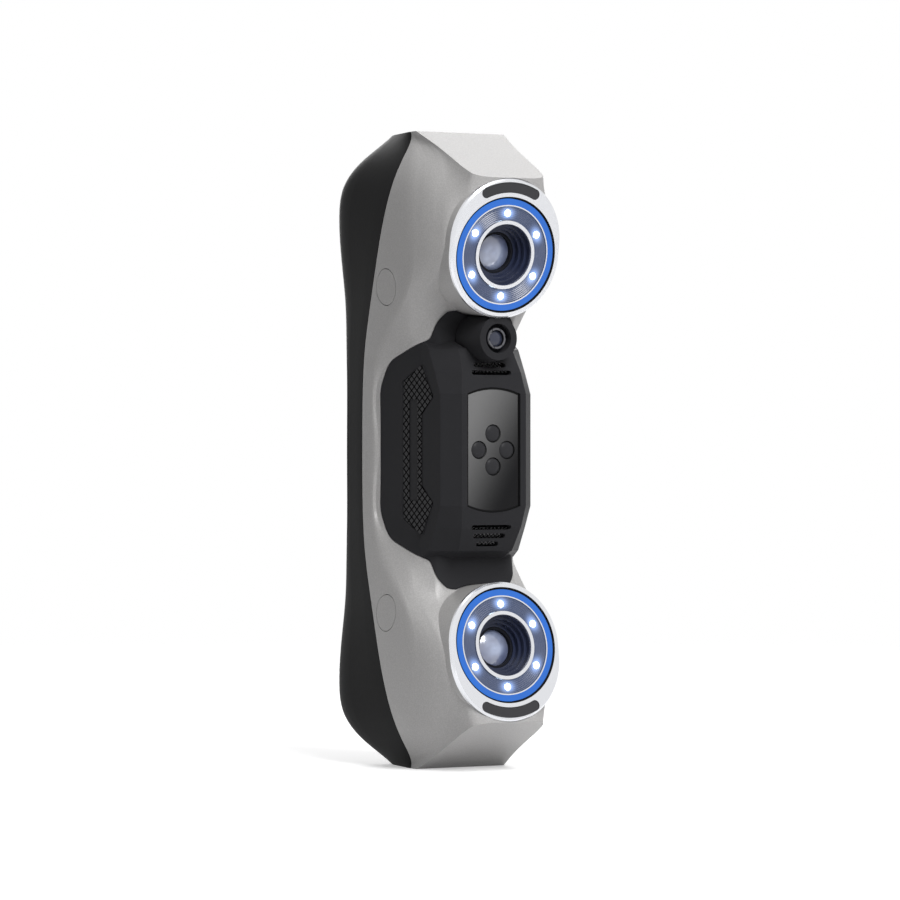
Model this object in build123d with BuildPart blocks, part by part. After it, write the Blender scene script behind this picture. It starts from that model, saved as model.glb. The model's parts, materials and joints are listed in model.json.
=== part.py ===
from build123d import *
from math import cos, radians, sin, tan
import os

# Hand-held scanner standing on its lower end: +Z along its length, lenses towards -Y, millimetres.
# Depths are measured backwards from the middle of the camera pod faces.

os.makedirs("parts", exist_ok=True)

# Overall form
LENGTH = 206.0
WIDTH = 51.0
BODY_DEPTH = 70.0
SHELL_WALL = 2.4
END_FRONT_DEPTH = 27.5
CORNER_SHARE = 0.3
SEAM_GAP = 0.2
FIT_GAP = 0.1
OVERRUN = 6.0

# Camera pods, toed in towards the middle
POD_OFFSET = 62.35
POD_TOE_IN = 9.0
POD_RADIUS = 20.4
POD_STRETCH = 4.2
POD_DRAFT = 4.0
POD_RING_THICKNESS = 1.6
POD_RING_CHAMFER = 0.6
POD_BARREL_DEPTH = 16.0
POD_BORE_RADIUS = 18.7
POD_SHOULDER_DEPTH = 9.0
POD_SHOULDER_THICKNESS = 2.0
POD_REAR_BORE_RADIUS = 17.0
POD_EYE_RADIUS = 8.2

# Projector block on the bezel
BEZEL_WALL = 2.4
BLOCK_FRONT_DEPTH = 7.0
BLOCK_SIDE_DRAFT = 6.0
BLOCK_HALF_WIDTH = 17.2
BLOCK_FLAT_WIDTH = 12.2
BLOCK_FLAT_SIDE_DEPTH = 12.0
BLOCK_KNEE_WIDTH = 11.2
BLOCK_KNEE_SIDE_DEPTH = 15.3
BLOCK_FOOT_WIDTH = 10.2
BLOCK_FOOT_SIDE_DEPTH = 19.3
BLOCK_ROOT_WIDTH = 9.6
BLOCK_ROOT_SIDE_DEPTH = 24.0
BLOCK_FLAT_HALF = 18.0
BLOCK_KNEE_DEPTH = 8.5
BLOCK_KNEE_HALF = 25.0
BLOCK_FOOT_DEPTH = 12.2
BLOCK_FOOT_HALF = 32.5
BLOCK_ROOT_DEPTH = 20.0
BLOCK_ROOT_HALF = 36.0
BLOCK_BACK_DEPTH = 28.0
BEZEL_BACK_DEPTH = 43.0
BEZEL_BACK_HALF = 20.0
BEZEL_SHOULDER_DEPTH = 38.0
BEZEL_SHOULDER_HALF = 28.5
BEZEL_NECK_DEPTH = 21.0
BEZEL_NECK_HALF = 35.5
BEZEL_TAB_DEPTH = 16.5
BEZEL_TAB_HALF = 46.0
BEZEL_CORNER_RADIUS = 3.0
BEZEL_SHOULDER_RADIUS = 12.0
SHOULDER_CORNERS = 4

# Projector window and module
WINDOW_WIDTH = 20.0
WINDOW_HEIGHT = 40.0
WINDOW_BOW = 2.0
WINDOW_SINK = 0.6
WINDOW_THICKNESS = 1.0
WINDOW_LEDGE = 1.2
CELL_RADIUS = 2.85
CELL_PITCH = 5.3
CELL_SINK = 0.3
CELL_ROUND = 1.0
CELL_COUNT = 4
MODULE_FRONT_DEPTH = 14.0
MODULE_WIDTH = 22.0
MODULE_HEIGHT = 30.0

# Vent slots, as heights in shares of the block foot and lengths in shares of the window width
VENT_HEIGHT = 1.5
VENT_SHARES = [(0.765, 0.75), (0.84, 0.6), (-0.765, 0.75), (-0.85, 0.6), (-0.93, 0.42)]
VENT_MESH_THICKNESS = 0.6
VENT_MESH_WIDTH = 15.6
VENT_MESH_MARGIN = 0.9

# Colour camera on its boss under the upper pod
RGB_HEIGHT = 35.8
RGB_BOSS_DEPTH = 4.3
RGB_BOSS_RADIUS = 7.0
RGB_BOSS_DRAFT = 6.0
RGB_BOSS_ROOT_DEPTH = 17.0
RGB_BORE_RADIUS = 4.75
RGB_NOSE_RADIUS = 3.55
RGB_NOSE_SINK = 1.3
RGB_NOSE_LENGTH = 1.7
RGB_LENS_RADIUS = 2.6
RGB_LENS_SINK = 0.3
RGB_LENS_THICKNESS = 1.4
RGB_LENS_BULGE = 0.5
RGB_BARREL_REAR_DEPTH = 22.0
RGB_BOARD_SIZE = 14.0

# Side panels of the bezel
PANEL_RECESS = 1.0
PANEL_SINK = 0.35
PANEL_BACK_DEPTH = 31.4
PANEL_BACK_HALF = 22.0
PANEL_TOP_DEPTH = 21.7
PANEL_TOP_HALF = 27.6
PANEL_NOSE_DEPTH = 15.5
PANEL_NOSE_HALF = 17.0
PANEL_WAIST_DEPTH = 21.4
PANEL_WAIST_HALF = 11.4
PANEL_CORNER_RADIUS = 1.0
PLATE_FACE_X = 21.4
PLATE_FRONT_DEPTH = 23.0
PLATE_BACK_DEPTH = 40.0
PLATE_HALF_HEIGHT = 23.0
PLATE_CORNER_RADIUS = 3.0

# Threaded tripod socket and connector in the flat side plate
SOCKET_DEPTH = 32.0
SOCKET_RADIUS = 5.5
SOCKET_FLANGE_RADIUS = 7.2
SOCKET_FLANGE_THICKNESS = 2.0
SOCKET_LENGTH = 7.9
THREAD_RADIUS = 3.175
THREAD_LENGTH = 7.0
PORT_HEIGHT = 16.0
PORT_LENGTH = 7.6
PORT_WIDTH = 9.0
PORT_THICKNESS = 3.3
PORT_WALL = 0.35
PORT_TONGUE_WIDTH = 6.7
PORT_TONGUE_THICKNESS = 0.7
PORT_SINK = 0.3

# Rubber grip over the rear edges, and the rear buttons
GRIP_THICKNESS = 1.0
GRIP_FRONT_DEPTH = 63.5
GRIP_HALF = 30.0
GRIP_CORNER_RADIUS = 4.0
REAR_SHARE = 0.985
BUTTON_TRAVEL = 0.8
BUTTON_GAP = 0.3
BUTTON_PROUD = 0.6
BUTTON_PITCH = 16.0
BUTTON_FLANGE = 1.2
BUTTON_FLANGE_THICKNESS = 1.0
BUTTON_STEM_RADIUS = 1.6
BUTTON_CHAMFER = 0.4
SCAN_BUTTON_RADIUS = 6.5
STEP_BUTTON_RADIUS = 4.4
PIPE_RADIUS = 1.2
PIPE_HEIGHT = 24.0
BUTTON_BOARD_DEPTH = 59.0
BUTTON_BOARD_WIDTH = 18.0
BUTTON_BOARD_HALF = 28.0
BUTTON_POST_HALF = 26.2
BUTTON_POST_RADIUS = 1.5
SWITCH_SIZE = 5.0
SWITCH_THICKNESS = 1.6
SWITCH_RADIUS = 1.5
SWITCH_STROKE = 1.2
BOARD_THICKNESS = 1.2

# Side screws under flush round plugs, into lugs of the rear casing
PLUG_RADIUS = 5.85
PLUG_HEIGHT = 52.6
PLUG_DEPTH = 32.5
PLUG_FLOOR_X = 23.3
SCREW_BOSS_RADIUS = 7.3
SCREW_BOSS_X = 20.0
SCREW_RADIUS = 1.5
SCREW_HEAD_RADIUS = 2.6
SCREW_HEAD_HEIGHT = 1.5
SCREW_SEAT_X = 21.6
SCREW_LENGTH = 6.6
SCREW_SOCKET_RADIUS = 1.2
LUG_X = 14.0
LUG_HALF_HEIGHT = 6.0
LUG_FRONT_DEPTH = 27.0
LUG_STEP_DEPTH = 43.5
LUG_STEP_X = 22.6
LUG_BACK_DEPTH = 48.0

# Main board on posts of the rear casing
MAIN_BOARD_DEPTH = 52.0
MAIN_BOARD_WIDTH = 34.0
MAIN_BOARD_HALF = 60.0
MAIN_POST_X = 10.0
MAIN_POST_HALF = 48.0
MAIN_POST_RADIUS = 3.0
POST_SINK = 1.0

# Rings, lights and lens of each pod, as depths behind the pod face
ARC_RADIUS = 21.7
ARC_HEIGHT = 3.2
ARC_SWEEP = 50.0
ARC_SINK = 0.3
RING_SINK = 0.35
GASKET_WALL = 0.5
GASKET_SINK = 0.5
GLOW_OUTER_RADIUS = 18.0
GLOW_INNER_RADIUS = 16.15
GLOW_STEP_RADIUS = 15.4
GLOW_STEP_THICKNESS = 1.0
COVER_FRONT_DEPTH = 0.75
COVER_THICKNESS = 1.65
COVER_INNER_RADIUS = 11.2
BRIGHT_RING_WIDTH = 0.4
LED_COUNT = 6
LED_CIRCLE_RADIUS = 13.35
LED_SIZE = 3.2
LED_BASE_HEIGHT = 1.0
LED_DOME_RADIUS = 1.3
LED_DOME_HEIGHT = 1.4
HOOD_RADIUS = 11.05
HOOD_FRONT_DEPTH = 1.0
HOOD_MOUTH_RADIUS = 9.7
HOOD_STEP_DEPTH = 1.75
HOOD_STEP_WIDTH = 1.0
HOOD_STEPS = 3
TRIM_INNER_RADIUS = 9.9
NOSE_RADIUS = 6.6
NOSE_FRONT_DEPTH = 6.5
LENS_RADIUS = 5.8
LENS_SEAT_LENGTH = 2.5
LENS_SINK = 0.2
LENS_BULGE = 1.2
BARREL_FLANGE_RADIUS = 11.0
BARREL_FLANGE_THICKNESS = 2.0
BARREL_RADIUS = 7.4
BARREL_REAR_DEPTH = 20.0
CAMERA_BOARD_SIZE = 20.0

# Optical bench between the cameras, with the cooler behind it
BENCH_FRONT_DEPTH = 27.0
BENCH_THICKNESS = 3.0
BENCH_HALF_WIDTH = 9.0
COOLER_SIZE = 25.0
SINK_BASE_THICKNESS = 2.0
SINK_FIN_HEIGHT = 6.0
SINK_FIN_THICKNESS = 1.0
SINK_FINS = 8
FAN_THICKNESS = 8.0
FAN_BORE_RADIUS = 11.6
FAN_STRUT_THICKNESS = 1.2
FAN_STRUT_WIDTH = 1.6
FAN_STRUTS = 3
FAN_HUB_RADIUS = 5.4
FAN_SHAFT_RADIUS = 1.0
FAN_SHAFT_FIT = 0.05
FAN_RUNNING_GAP = 0.4
FAN_CAP_THICKNESS = 1.0
FAN_BLADES = 7
FAN_BLADE_TIP = 11.0
FAN_BLADE_CHORD = 4.4
FAN_BLADE_THICKNESS = 0.8
FAN_BLADE_PITCH = 35.0

# Small screws and chips of the boards. Each chip is placed by shares of the main board's width and half
# length, and sized by shares of its width and length.
BOARD_SCREW_RADIUS = 1.2
BOARD_SCREW_HEAD_RADIUS = 2.2
BOARD_SCREW_HEAD_HEIGHT = 1.2
BOARD_SCREW_LENGTH = 5.0
BENCH_SCREW_X = 7.0
CHIP_THICKNESS = 1.6
CHIP_SHARES = [
    (0.0, 0.5, 0.42, 0.11),
    (-0.2, 0.68, 0.24, 0.06),
    (0.2, 0.68, 0.24, 0.06),
    (0.0, -0.5, 0.34, 0.09),
    (0.3, -0.3, 0.16, 0.06),
]

# Worked-out places
HALF_LENGTH = LENGTH / 2
HALF_WIDTH = WIDTH / 2
MID_Z = HALF_LENGTH
TOE_COS = cos(radians(POD_TOE_IN))
TOE_SIN = sin(radians(POD_TOE_IN))
POD_REACH = POD_RADIUS + POD_STRETCH
POD_FACE_Y = (POD_REACH * TOE_SIN - BODY_DEPTH) / 2
POD_FLOOR_DEPTH = POD_SHOULDER_DEPTH + POD_SHOULDER_THICKNESS
SIDES = {"upper": 1, "lower": -1}
HANDS = {"right": 1, "left": -1}
REAR_DEPTH = REAR_SHARE * BODY_DEPTH

# Half cross-sections from the middle to past an end, where a flat face cuts them. Each row gives its
# height as a share of the half length, then seven corners from the front round to the back, across as
# shares of the half width and backwards as shares of the body depth.
SECTION_SHARES = [
    (
        0.0,
        [(0.47, 0.244), (0.72, 0.302), (0.81, 0.612), (0.875, 0.645)]
        + [(0.885, 0.742), (0.805, 0.95), (0.51, 0.985)],
    ),
    (
        0.233,
        [(0.47, 0.244), (0.72, 0.302), (0.825, 0.6), (0.9, 0.625)]
        + [(0.9, 0.723), (0.805, 0.95), (0.51, 0.985)],
    ),
    (
        0.33,
        [(0.51, 0.249), (0.7, 0.335), (0.8, 0.43), (0.925, 0.55)]
        + [(0.93, 0.68), (0.825, 0.945), (0.51, 0.985)],
    ),
    (
        0.466,
        [(0.55, 0.215), (0.785, 0.258), (0.88, 0.29), (0.965, 0.335)]
        + [(0.985, 0.58), (0.845, 0.945), (0.53, 0.99)],
    ),
    (
        0.602,
        [(0.55, 0.035), (0.805, 0.065), (0.915, 0.145), (0.995, 0.25)]
        + [(1.0, 0.52), (0.88, 0.965), (0.55, 0.997)],
    ),
    (
        0.748,
        [(0.55, -0.02), (0.765, 0.045), (0.9, 0.155), (0.98, 0.28)]
        + [(0.99, 0.469), (0.91, 0.975), (0.55, 1.0)],
    ),
    (
        0.845,
        [(0.505, -0.05), (0.645, 0.095), (0.805, 0.185), (0.91, 0.3)]
        + [(0.92, 0.445), (0.88, 0.945), (0.54, 0.975)],
    ),
    (
        0.922,
        [(0.54, -0.07), (0.575, 0.19), (0.66, 0.275), (0.765, 0.36)]
        + [(0.785, 0.46), (0.74, 0.85), (0.48, 0.895)],
    ),
    (
        1.0,
        [(0.62, -0.06), (0.66, 0.385), (0.655, 0.43), (0.64, 0.475)]
        + [(0.6, 0.53), (0.47, 0.73), (0.26, 0.8)],
    ),
    (
        1.06,
        [(0.65, -0.05), (0.66, 0.44), (0.62, 0.465), (0.58, 0.49)]
        + [(0.5, 0.53), (0.34, 0.65), (0.18, 0.71)],
    ),
]
FRONT_CORNERS = 2
REAR_CORNERS = 5

# Parting line between the silver front and the black rear, from the middle to an end
PARTING_SHARES = [
    (0.743, 0.0),
    (0.7, 0.311),
    (0.609, 0.476),
    (0.539, 0.617),
    (0.458, 0.784),
    (0.429, 0.913),
]
PARTING_END_SHARE = 0.488


def depth_y(depth):
    """Place along Y of a depth behind the pod faces."""
    return POD_FACE_Y + depth


def pod_plane(side, depth=0.0):
    """Plane parallel to a pod face, looking out of the lens, at a depth behind the face."""
    outwards = Vector(0, -TOE_COS, -side * TOE_SIN)
    middle = Vector(0, POD_FACE_Y, MID_Z + side * POD_OFFSET)
    return Plane(origin=middle - outwards * depth, x_dir=(1, 0, 0), z_dir=outwards)


def section_corners(row, inset):
    """Corners of a whole cross-section, pulled inwards by an inset."""
    right = []
    for index, (across_share, back_share) in enumerate(row):
        pull = 0
        if index < FRONT_CORNERS:
            pull = inset
        if index >= REAR_CORNERS:
            pull = -inset
        right.append(Vector(across_share * HALF_WIDTH - inset, depth_y(back_share * BODY_DEPTH + pull)))
    left = [Vector(-corner.X, corner.Y) for corner in reversed(right)]
    return right + left


def draw_rounded(corners, share):
    """Closed outline through the corners, each rounded over a share of its two sides."""
    count = len(corners)
    for index, corner in enumerate(corners):
        before = corners[index - 1]
        after = corners[(index + 1) % count]
        turn_end = corner + (after - corner) * share
        Bezier(corner + (before - corner) * share, corner, turn_end)
        Line(turn_end, after + (corner - after) * share)


def body_form(inset):
    """Solid form of the whole body, pulled inwards by an inset, with the slanted front of both ends."""
    reach = HALF_LENGTH - inset
    lower_rows = [(-height, row) for height, row in reversed(SECTION_SHARES[1:])]
    tip = Vector(-POD_REACH * TOE_SIN, POD_OFFSET + POD_REACH * TOE_COS)
    end = Vector(END_FRONT_DEPTH, HALF_LENGTH)
    along = (end - tip).normalized()
    inwards = Vector(along.Y, -along.X)
    low = tip + inwards * inset - along * HALF_LENGTH
    high = end + inwards * inset + along * HALF_LENGTH
    with BuildPart() as form:
        for height, row in lower_rows + SECTION_SHARES:
            with BuildSketch(Plane.XY.offset(MID_Z + height * reach)):
                with BuildLine():
                    draw_rounded(section_corners(row, inset), CORNER_SHARE)
                make_face()
        loft()
        with Locations((0, 0, MID_Z)):
            Box(WIDTH * 2, BODY_DEPTH * 2, reach * 2, mode=Mode.INTERSECT)
        for side in SIDES.values():
            with BuildSketch(Plane.YZ):
                with BuildLine():
                    Polyline(
                        (depth_y(low.X), MID_Z + side * low.Y),
                        (depth_y(high.X), MID_Z + side * high.Y),
                        (depth_y(low.X), MID_Z + side * high.Y),
                        close=True,
                    )
                make_face()
            extrude(amount=WIDTH, both=True, mode=Mode.SUBTRACT)
    return form.part


def rear_region(shift):
    """Everything behind the parting line, with the line shifted backwards."""
    upper = [(depth_y(back * BODY_DEPTH + shift), height * HALF_LENGTH) for back, height in PARTING_SHARES]
    upper.append((depth_y(PARTING_END_SHARE * BODY_DEPTH + shift), HALF_LENGTH + OVERRUN))
    line = [(y, MID_Z - height) for y, height in reversed(upper[1:])]
    line += [(y, MID_Z + height) for y, height in upper]
    back_y = depth_y(BODY_DEPTH + WIDTH)
    with BuildPart() as region:
        with BuildSketch(Plane.YZ):
            with BuildLine():
                Spline(*line)
                Polyline(line[-1], (back_y, line[-1][1]), (back_y, line[0][1]), line[0])
            make_face()
        extrude(amount=WIDTH, both=True)
    return region.part


def bezel_region(inset):
    """Everything in front of the bezel's outline, pulled inwards by an inset."""
    half = [
        (BEZEL_BACK_DEPTH, BEZEL_BACK_HALF),
        (BEZEL_SHOULDER_DEPTH, BEZEL_SHOULDER_HALF),
        (BEZEL_NECK_DEPTH, BEZEL_NECK_HALF),
        (BEZEL_TAB_DEPTH, BEZEL_TAB_HALF),
        (-BODY_DEPTH, BEZEL_TAB_HALF),
    ]
    line = [(depth_y(depth), MID_Z + height) for depth, height in half]
    line += [(depth_y(depth), MID_Z - height) for depth, height in reversed(half)]
    with BuildPart() as region:
        with BuildSketch(Plane.YZ) as outline:
            with BuildLine():
                Polyline(*line, close=True)
            make_face()
            by_depth = outline.vertices().sort_by(Axis.X)
            fillet(by_depth[-SHOULDER_CORNERS:], BEZEL_SHOULDER_RADIUS)
            neck_y = depth_y(BEZEL_NECK_DEPTH + BEZEL_CORNER_RADIUS)
            fillet([corner for corner in outline.vertices() if corner.X < neck_y], BEZEL_CORNER_RADIUS)
            offset(amount=-inset, mode=Mode.REPLACE)
        extrude(amount=WIDTH, both=True)
    return region.part


def pod_outline(side, grow):
    """Oval of a pod face, longer towards the end of the body, drawn on the pod's own plane."""
    with Locations((0, side * POD_STRETCH / 2)):
        SlotCenterToCenter(POD_STRETCH, (POD_RADIUS + grow) * 2, rotation=90)


def pod_barrels(front_depth, grow):
    """Both pod barrels as drafted solids from a depth behind the pod faces."""
    with BuildPart() as barrels:
        for side in SIDES.values():
            with BuildSketch(pod_plane(side, front_depth)):
                pod_outline(side, grow)
            extrude(amount=front_depth - POD_BARREL_DEPTH, taper=-POD_DRAFT)
    return barrels.part


def block_form(inset):
    """Raised projector block, pulled inwards by an inset: flat front, slanted corners, tapered ends."""
    widening = tan(radians(BLOCK_SIDE_DRAFT))
    levels = [
        (BLOCK_FLAT_HALF, BLOCK_FRONT_DEPTH, BLOCK_FLAT_WIDTH, BLOCK_FLAT_SIDE_DEPTH),
        (BLOCK_KNEE_HALF, BLOCK_KNEE_DEPTH, BLOCK_KNEE_WIDTH, BLOCK_KNEE_SIDE_DEPTH),
        (BLOCK_FOOT_HALF, BLOCK_FOOT_DEPTH, BLOCK_FOOT_WIDTH, BLOCK_FOOT_SIDE_DEPTH),
        (BLOCK_ROOT_HALF, BLOCK_ROOT_DEPTH, BLOCK_ROOT_WIDTH, BLOCK_ROOT_SIDE_DEPTH),
    ]
    rows = [(-height, *sizes) for height, *sizes in reversed(levels)]
    rows += [(height, *sizes) for height, *sizes in levels]
    half = BLOCK_HALF_WIDTH - inset
    with BuildPart() as block:
        for height, depth, width, side_depth in rows:
            spread = (BLOCK_BACK_DEPTH - side_depth) * widening
            side = [(width - inset / 2, depth + inset), (half, side_depth + inset / 2)]
            side.append((half + spread, BLOCK_BACK_DEPTH))
            line = [(across, depth_y(back)) for across, back in side]
            line += [(-across, depth_y(back)) for across, back in reversed(side)]
            with BuildSketch(Plane.XY.offset(MID_Z + height)):
                with BuildLine():
                    Polyline(*line, close=True)
                make_face()
        loft(ruled=True)
    return block.part


envelope = body_form(0)
cavity = body_form(SHELL_WALL)
barrels = pod_barrels(POD_RING_THICKNESS, 0)
barrel_clearance = pod_barrels(0, SEAM_GAP)
grip_core = body_form(GRIP_THICKNESS)


def side_line_x(depth):
    """Half width of the bezel's flat side at a depth."""
    row = SECTION_SHARES[0][1]
    front_x, front_depth = row[1][0] * HALF_WIDTH, row[1][1] * BODY_DEPTH
    back_x, back_depth = row[2][0] * HALF_WIDTH, row[2][1] * BODY_DEPTH
    return front_x + (depth - front_depth) * (back_x - front_x) / (back_depth - front_depth)


def side_slab(hand, sink, outer_x):
    """Slab beside the body, from a sink below the bezel's flat side out to a half width."""
    near, far = BLOCK_FRONT_DEPTH, BEZEL_BACK_DEPTH + OVERRUN
    with BuildPart() as slab:
        with BuildSketch(Plane.XY):
            with BuildLine():
                Polyline(
                    (hand * (side_line_x(near) - sink), depth_y(near)),
                    (hand * outer_x, depth_y(near)),
                    (hand * outer_x, depth_y(far)),
                    (hand * (side_line_x(far) - sink), depth_y(far)),
                    close=True,
                )
            make_face()
        extrude(amount=LENGTH)
    return slab.part


def grille_outline(grow):
    """Outline of the meshed side panel in side view."""
    half = [
        (PANEL_BACK_DEPTH, PANEL_BACK_HALF),
        (PANEL_TOP_DEPTH, PANEL_TOP_HALF),
        (PANEL_NOSE_DEPTH, PANEL_NOSE_HALF),
        (PANEL_WAIST_DEPTH, PANEL_WAIST_HALF),
    ]
    line = [(depth_y(depth), MID_Z + height) for depth, height in half]
    line += [(depth_y(depth), MID_Z - height) for depth, height in reversed(half)]
    with BuildLine() as outline:
        Polyline(*line, close=True)
    panel = make_face(outline.edges())
    fillet(panel.vertices(), PANEL_CORNER_RADIUS)
    offset(amount=grow, mode=Mode.REPLACE)


def plate_outline(grow):
    """Outline of the flat side plate in side view."""
    middle = (PLATE_FRONT_DEPTH + PLATE_BACK_DEPTH) / 2
    with Locations((depth_y(middle), MID_Z)):
        RectangleRounded(
            PLATE_BACK_DEPTH - PLATE_FRONT_DEPTH + grow * 2,
            PLATE_HALF_HEIGHT * 2 + grow * 2,
            PLATE_CORNER_RADIUS + grow,
        )


def grille_block(grow):
    """Room of the meshed panel: its outline, from the recess floor outwards."""
    with BuildPart() as block:
        with BuildSketch(Plane.YZ):
            grille_outline(grow)
        extrude(amount=-WIDTH)
        add(side_slab(HANDS["left"], PANEL_RECESS, WIDTH), mode=Mode.INTERSECT)
    return block.part


def plate_block(grow, outer_x):
    """Room of the flat side plate: its outline, from the recess floor out to a half width."""
    with BuildPart() as block:
        with BuildSketch(Plane.YZ):
            plate_outline(grow)
        extrude(amount=WIDTH)
        add(side_slab(HANDS["right"], PANEL_RECESS, outer_x), mode=Mode.INTERSECT)
    return block.part


def port_section(grow):
    """Size of the connector's mouth, thickness, width and corner radius."""
    return PORT_THICKNESS + grow * 2, PORT_WIDTH + grow * 2, PORT_THICKNESS / 2


def window_outline(grow):
    """Window outline: straight sides and bowed ends."""
    across = WINDOW_WIDTH / 2 + grow
    corner = WINDOW_HEIGHT / 2 - WINDOW_BOW + grow
    crown = WINDOW_HEIGHT / 2 + grow
    with BuildLine() as outline:
        ThreePointArc((-across, corner), (0, crown), (across, corner))
        Line((across, corner), (across, -corner))
        ThreePointArc((across, -corner), (0, -crown), (-across, -corner))
        Line((-across, -corner), (-across, corner))
    make_face(outline.edges())


def front_plane(depth, height=0.0):
    """Plane that faces the front at a depth, centred at a height above the middle."""
    return Plane(origin=(0, depth_y(depth), MID_Z + height), x_dir=(1, 0, 0), z_dir=(0, -1, 0))


def rear_plane(depth, height=0.0):
    """Plane that faces the back at a depth, centred at a height above the middle."""
    return Plane(origin=(0, depth_y(depth), MID_Z + height), x_dir=(-1, 0, 0), z_dir=(0, 1, 0))


def side_plane(x):
    """Plane that faces right at a half width, with depth across and height up."""
    return Plane(origin=(x, POD_FACE_Y, MID_Z), x_dir=(0, 1, 0), z_dir=(1, 0, 0))


def plug_places():
    """Centres of the flush plugs on a side plane."""
    return [(PLUG_DEPTH, side * PLUG_HEIGHT) for side in SIDES.values()]


# Silver front housing with its pod barrels, screw bosses and plug seats
with BuildPart() as front_housing:
    add(envelope)
    add(cavity, mode=Mode.SUBTRACT)
    add(rear_region(-SEAM_GAP), mode=Mode.SUBTRACT)
    add(bezel_region(0), mode=Mode.SUBTRACT)
    add(barrels)
    with BuildSketch(front_plane(0, RGB_HEIGHT)):
        Circle(RGB_BORE_RADIUS + SEAM_GAP)
    extrude(amount=-BLOCK_BACK_DEPTH, mode=Mode.SUBTRACT)
    for pod_side in SIDES.values():
        with BuildSketch(pod_plane(pod_side, POD_RING_THICKNESS)):
            pod_outline(pod_side, FIT_GAP)
        extrude(amount=OVERRUN, mode=Mode.SUBTRACT)
        with BuildSketch(pod_plane(pod_side, POD_RING_THICKNESS - OVERRUN)):
            Circle(POD_BORE_RADIUS)
        extrude(amount=POD_RING_THICKNESS - OVERRUN - POD_SHOULDER_DEPTH, mode=Mode.SUBTRACT)
        with BuildSketch(pod_plane(pod_side)):
            Circle(POD_EYE_RADIUS)
        extrude(amount=-POD_FLOOR_DEPTH, mode=Mode.SUBTRACT)
        with BuildSketch(pod_plane(pod_side, POD_FLOOR_DEPTH)):
            Circle(POD_REAR_BORE_RADIUS)
        extrude(amount=POD_FLOOR_DEPTH - POD_BARREL_DEPTH - OVERRUN, mode=Mode.SUBTRACT)
    for hand in HANDS.values():
        with BuildSketch(side_plane(hand * SCREW_BOSS_X)):
            with Locations(*plug_places()):
                Circle(SCREW_BOSS_RADIUS)
        extrude(amount=hand * (PLUG_FLOOR_X - SCREW_BOSS_X))
        with BuildSketch(side_plane(hand * PLUG_FLOOR_X)):
            with Locations(*plug_places()):
                Circle(PLUG_RADIUS + SEAM_GAP)
        extrude(amount=hand * WIDTH, mode=Mode.SUBTRACT)
        with BuildSketch(side_plane(hand * SCREW_SEAT_X)):
            with Locations(*plug_places()):
                Circle(SCREW_HEAD_RADIUS + FIT_GAP)
        extrude(amount=hand * WIDTH, mode=Mode.SUBTRACT)
        with BuildSketch(side_plane(hand * SCREW_BOSS_X)):
            with Locations(*plug_places()):
                Circle(SCREW_RADIUS + FIT_GAP)
        extrude(amount=hand * WIDTH, mode=Mode.SUBTRACT)
front_housing.part.label = "front_housing"
export_step(front_housing.part, "parts/front_housing.step")


def button_places():
    """Heights and radii of the rear buttons, by name."""
    return {
        "scan_button": (0, SCAN_BUTTON_RADIUS),
        "plus_button": (BUTTON_PITCH, STEP_BUTTON_RADIUS),
        "minus_button": (-BUTTON_PITCH, STEP_BUTTON_RADIUS),
    }


def grip_block(grow):
    """Block round the rear edges that the grip covers."""
    front = depth_y(GRIP_FRONT_DEPTH - grow)
    back = depth_y(BODY_DEPTH + OVERRUN)
    with BuildPart() as block:
        with BuildSketch(Plane.YZ) as outline:
            with Locations(((front + back) / 2, MID_Z)):
                Rectangle(back - front, (GRIP_HALF + grow) * 2)
            fillet(outline.vertices(), GRIP_CORNER_RADIUS)
        extrude(amount=WIDTH, both=True)
    return block.part


def rear_holes():
    """Holes through the back for the buttons and the light pipe."""
    with BuildPart() as holes:
        with BuildSketch(rear_plane(BUTTON_BOARD_DEPTH)):
            for height, radius in button_places().values():
                with Locations((0, height)):
                    Circle(radius + BUTTON_GAP)
            with Locations((0, PIPE_HEIGHT)):
                Circle(PIPE_RADIUS + FIT_GAP)
        extrude(amount=BODY_DEPTH)
    return holes.part


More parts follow.
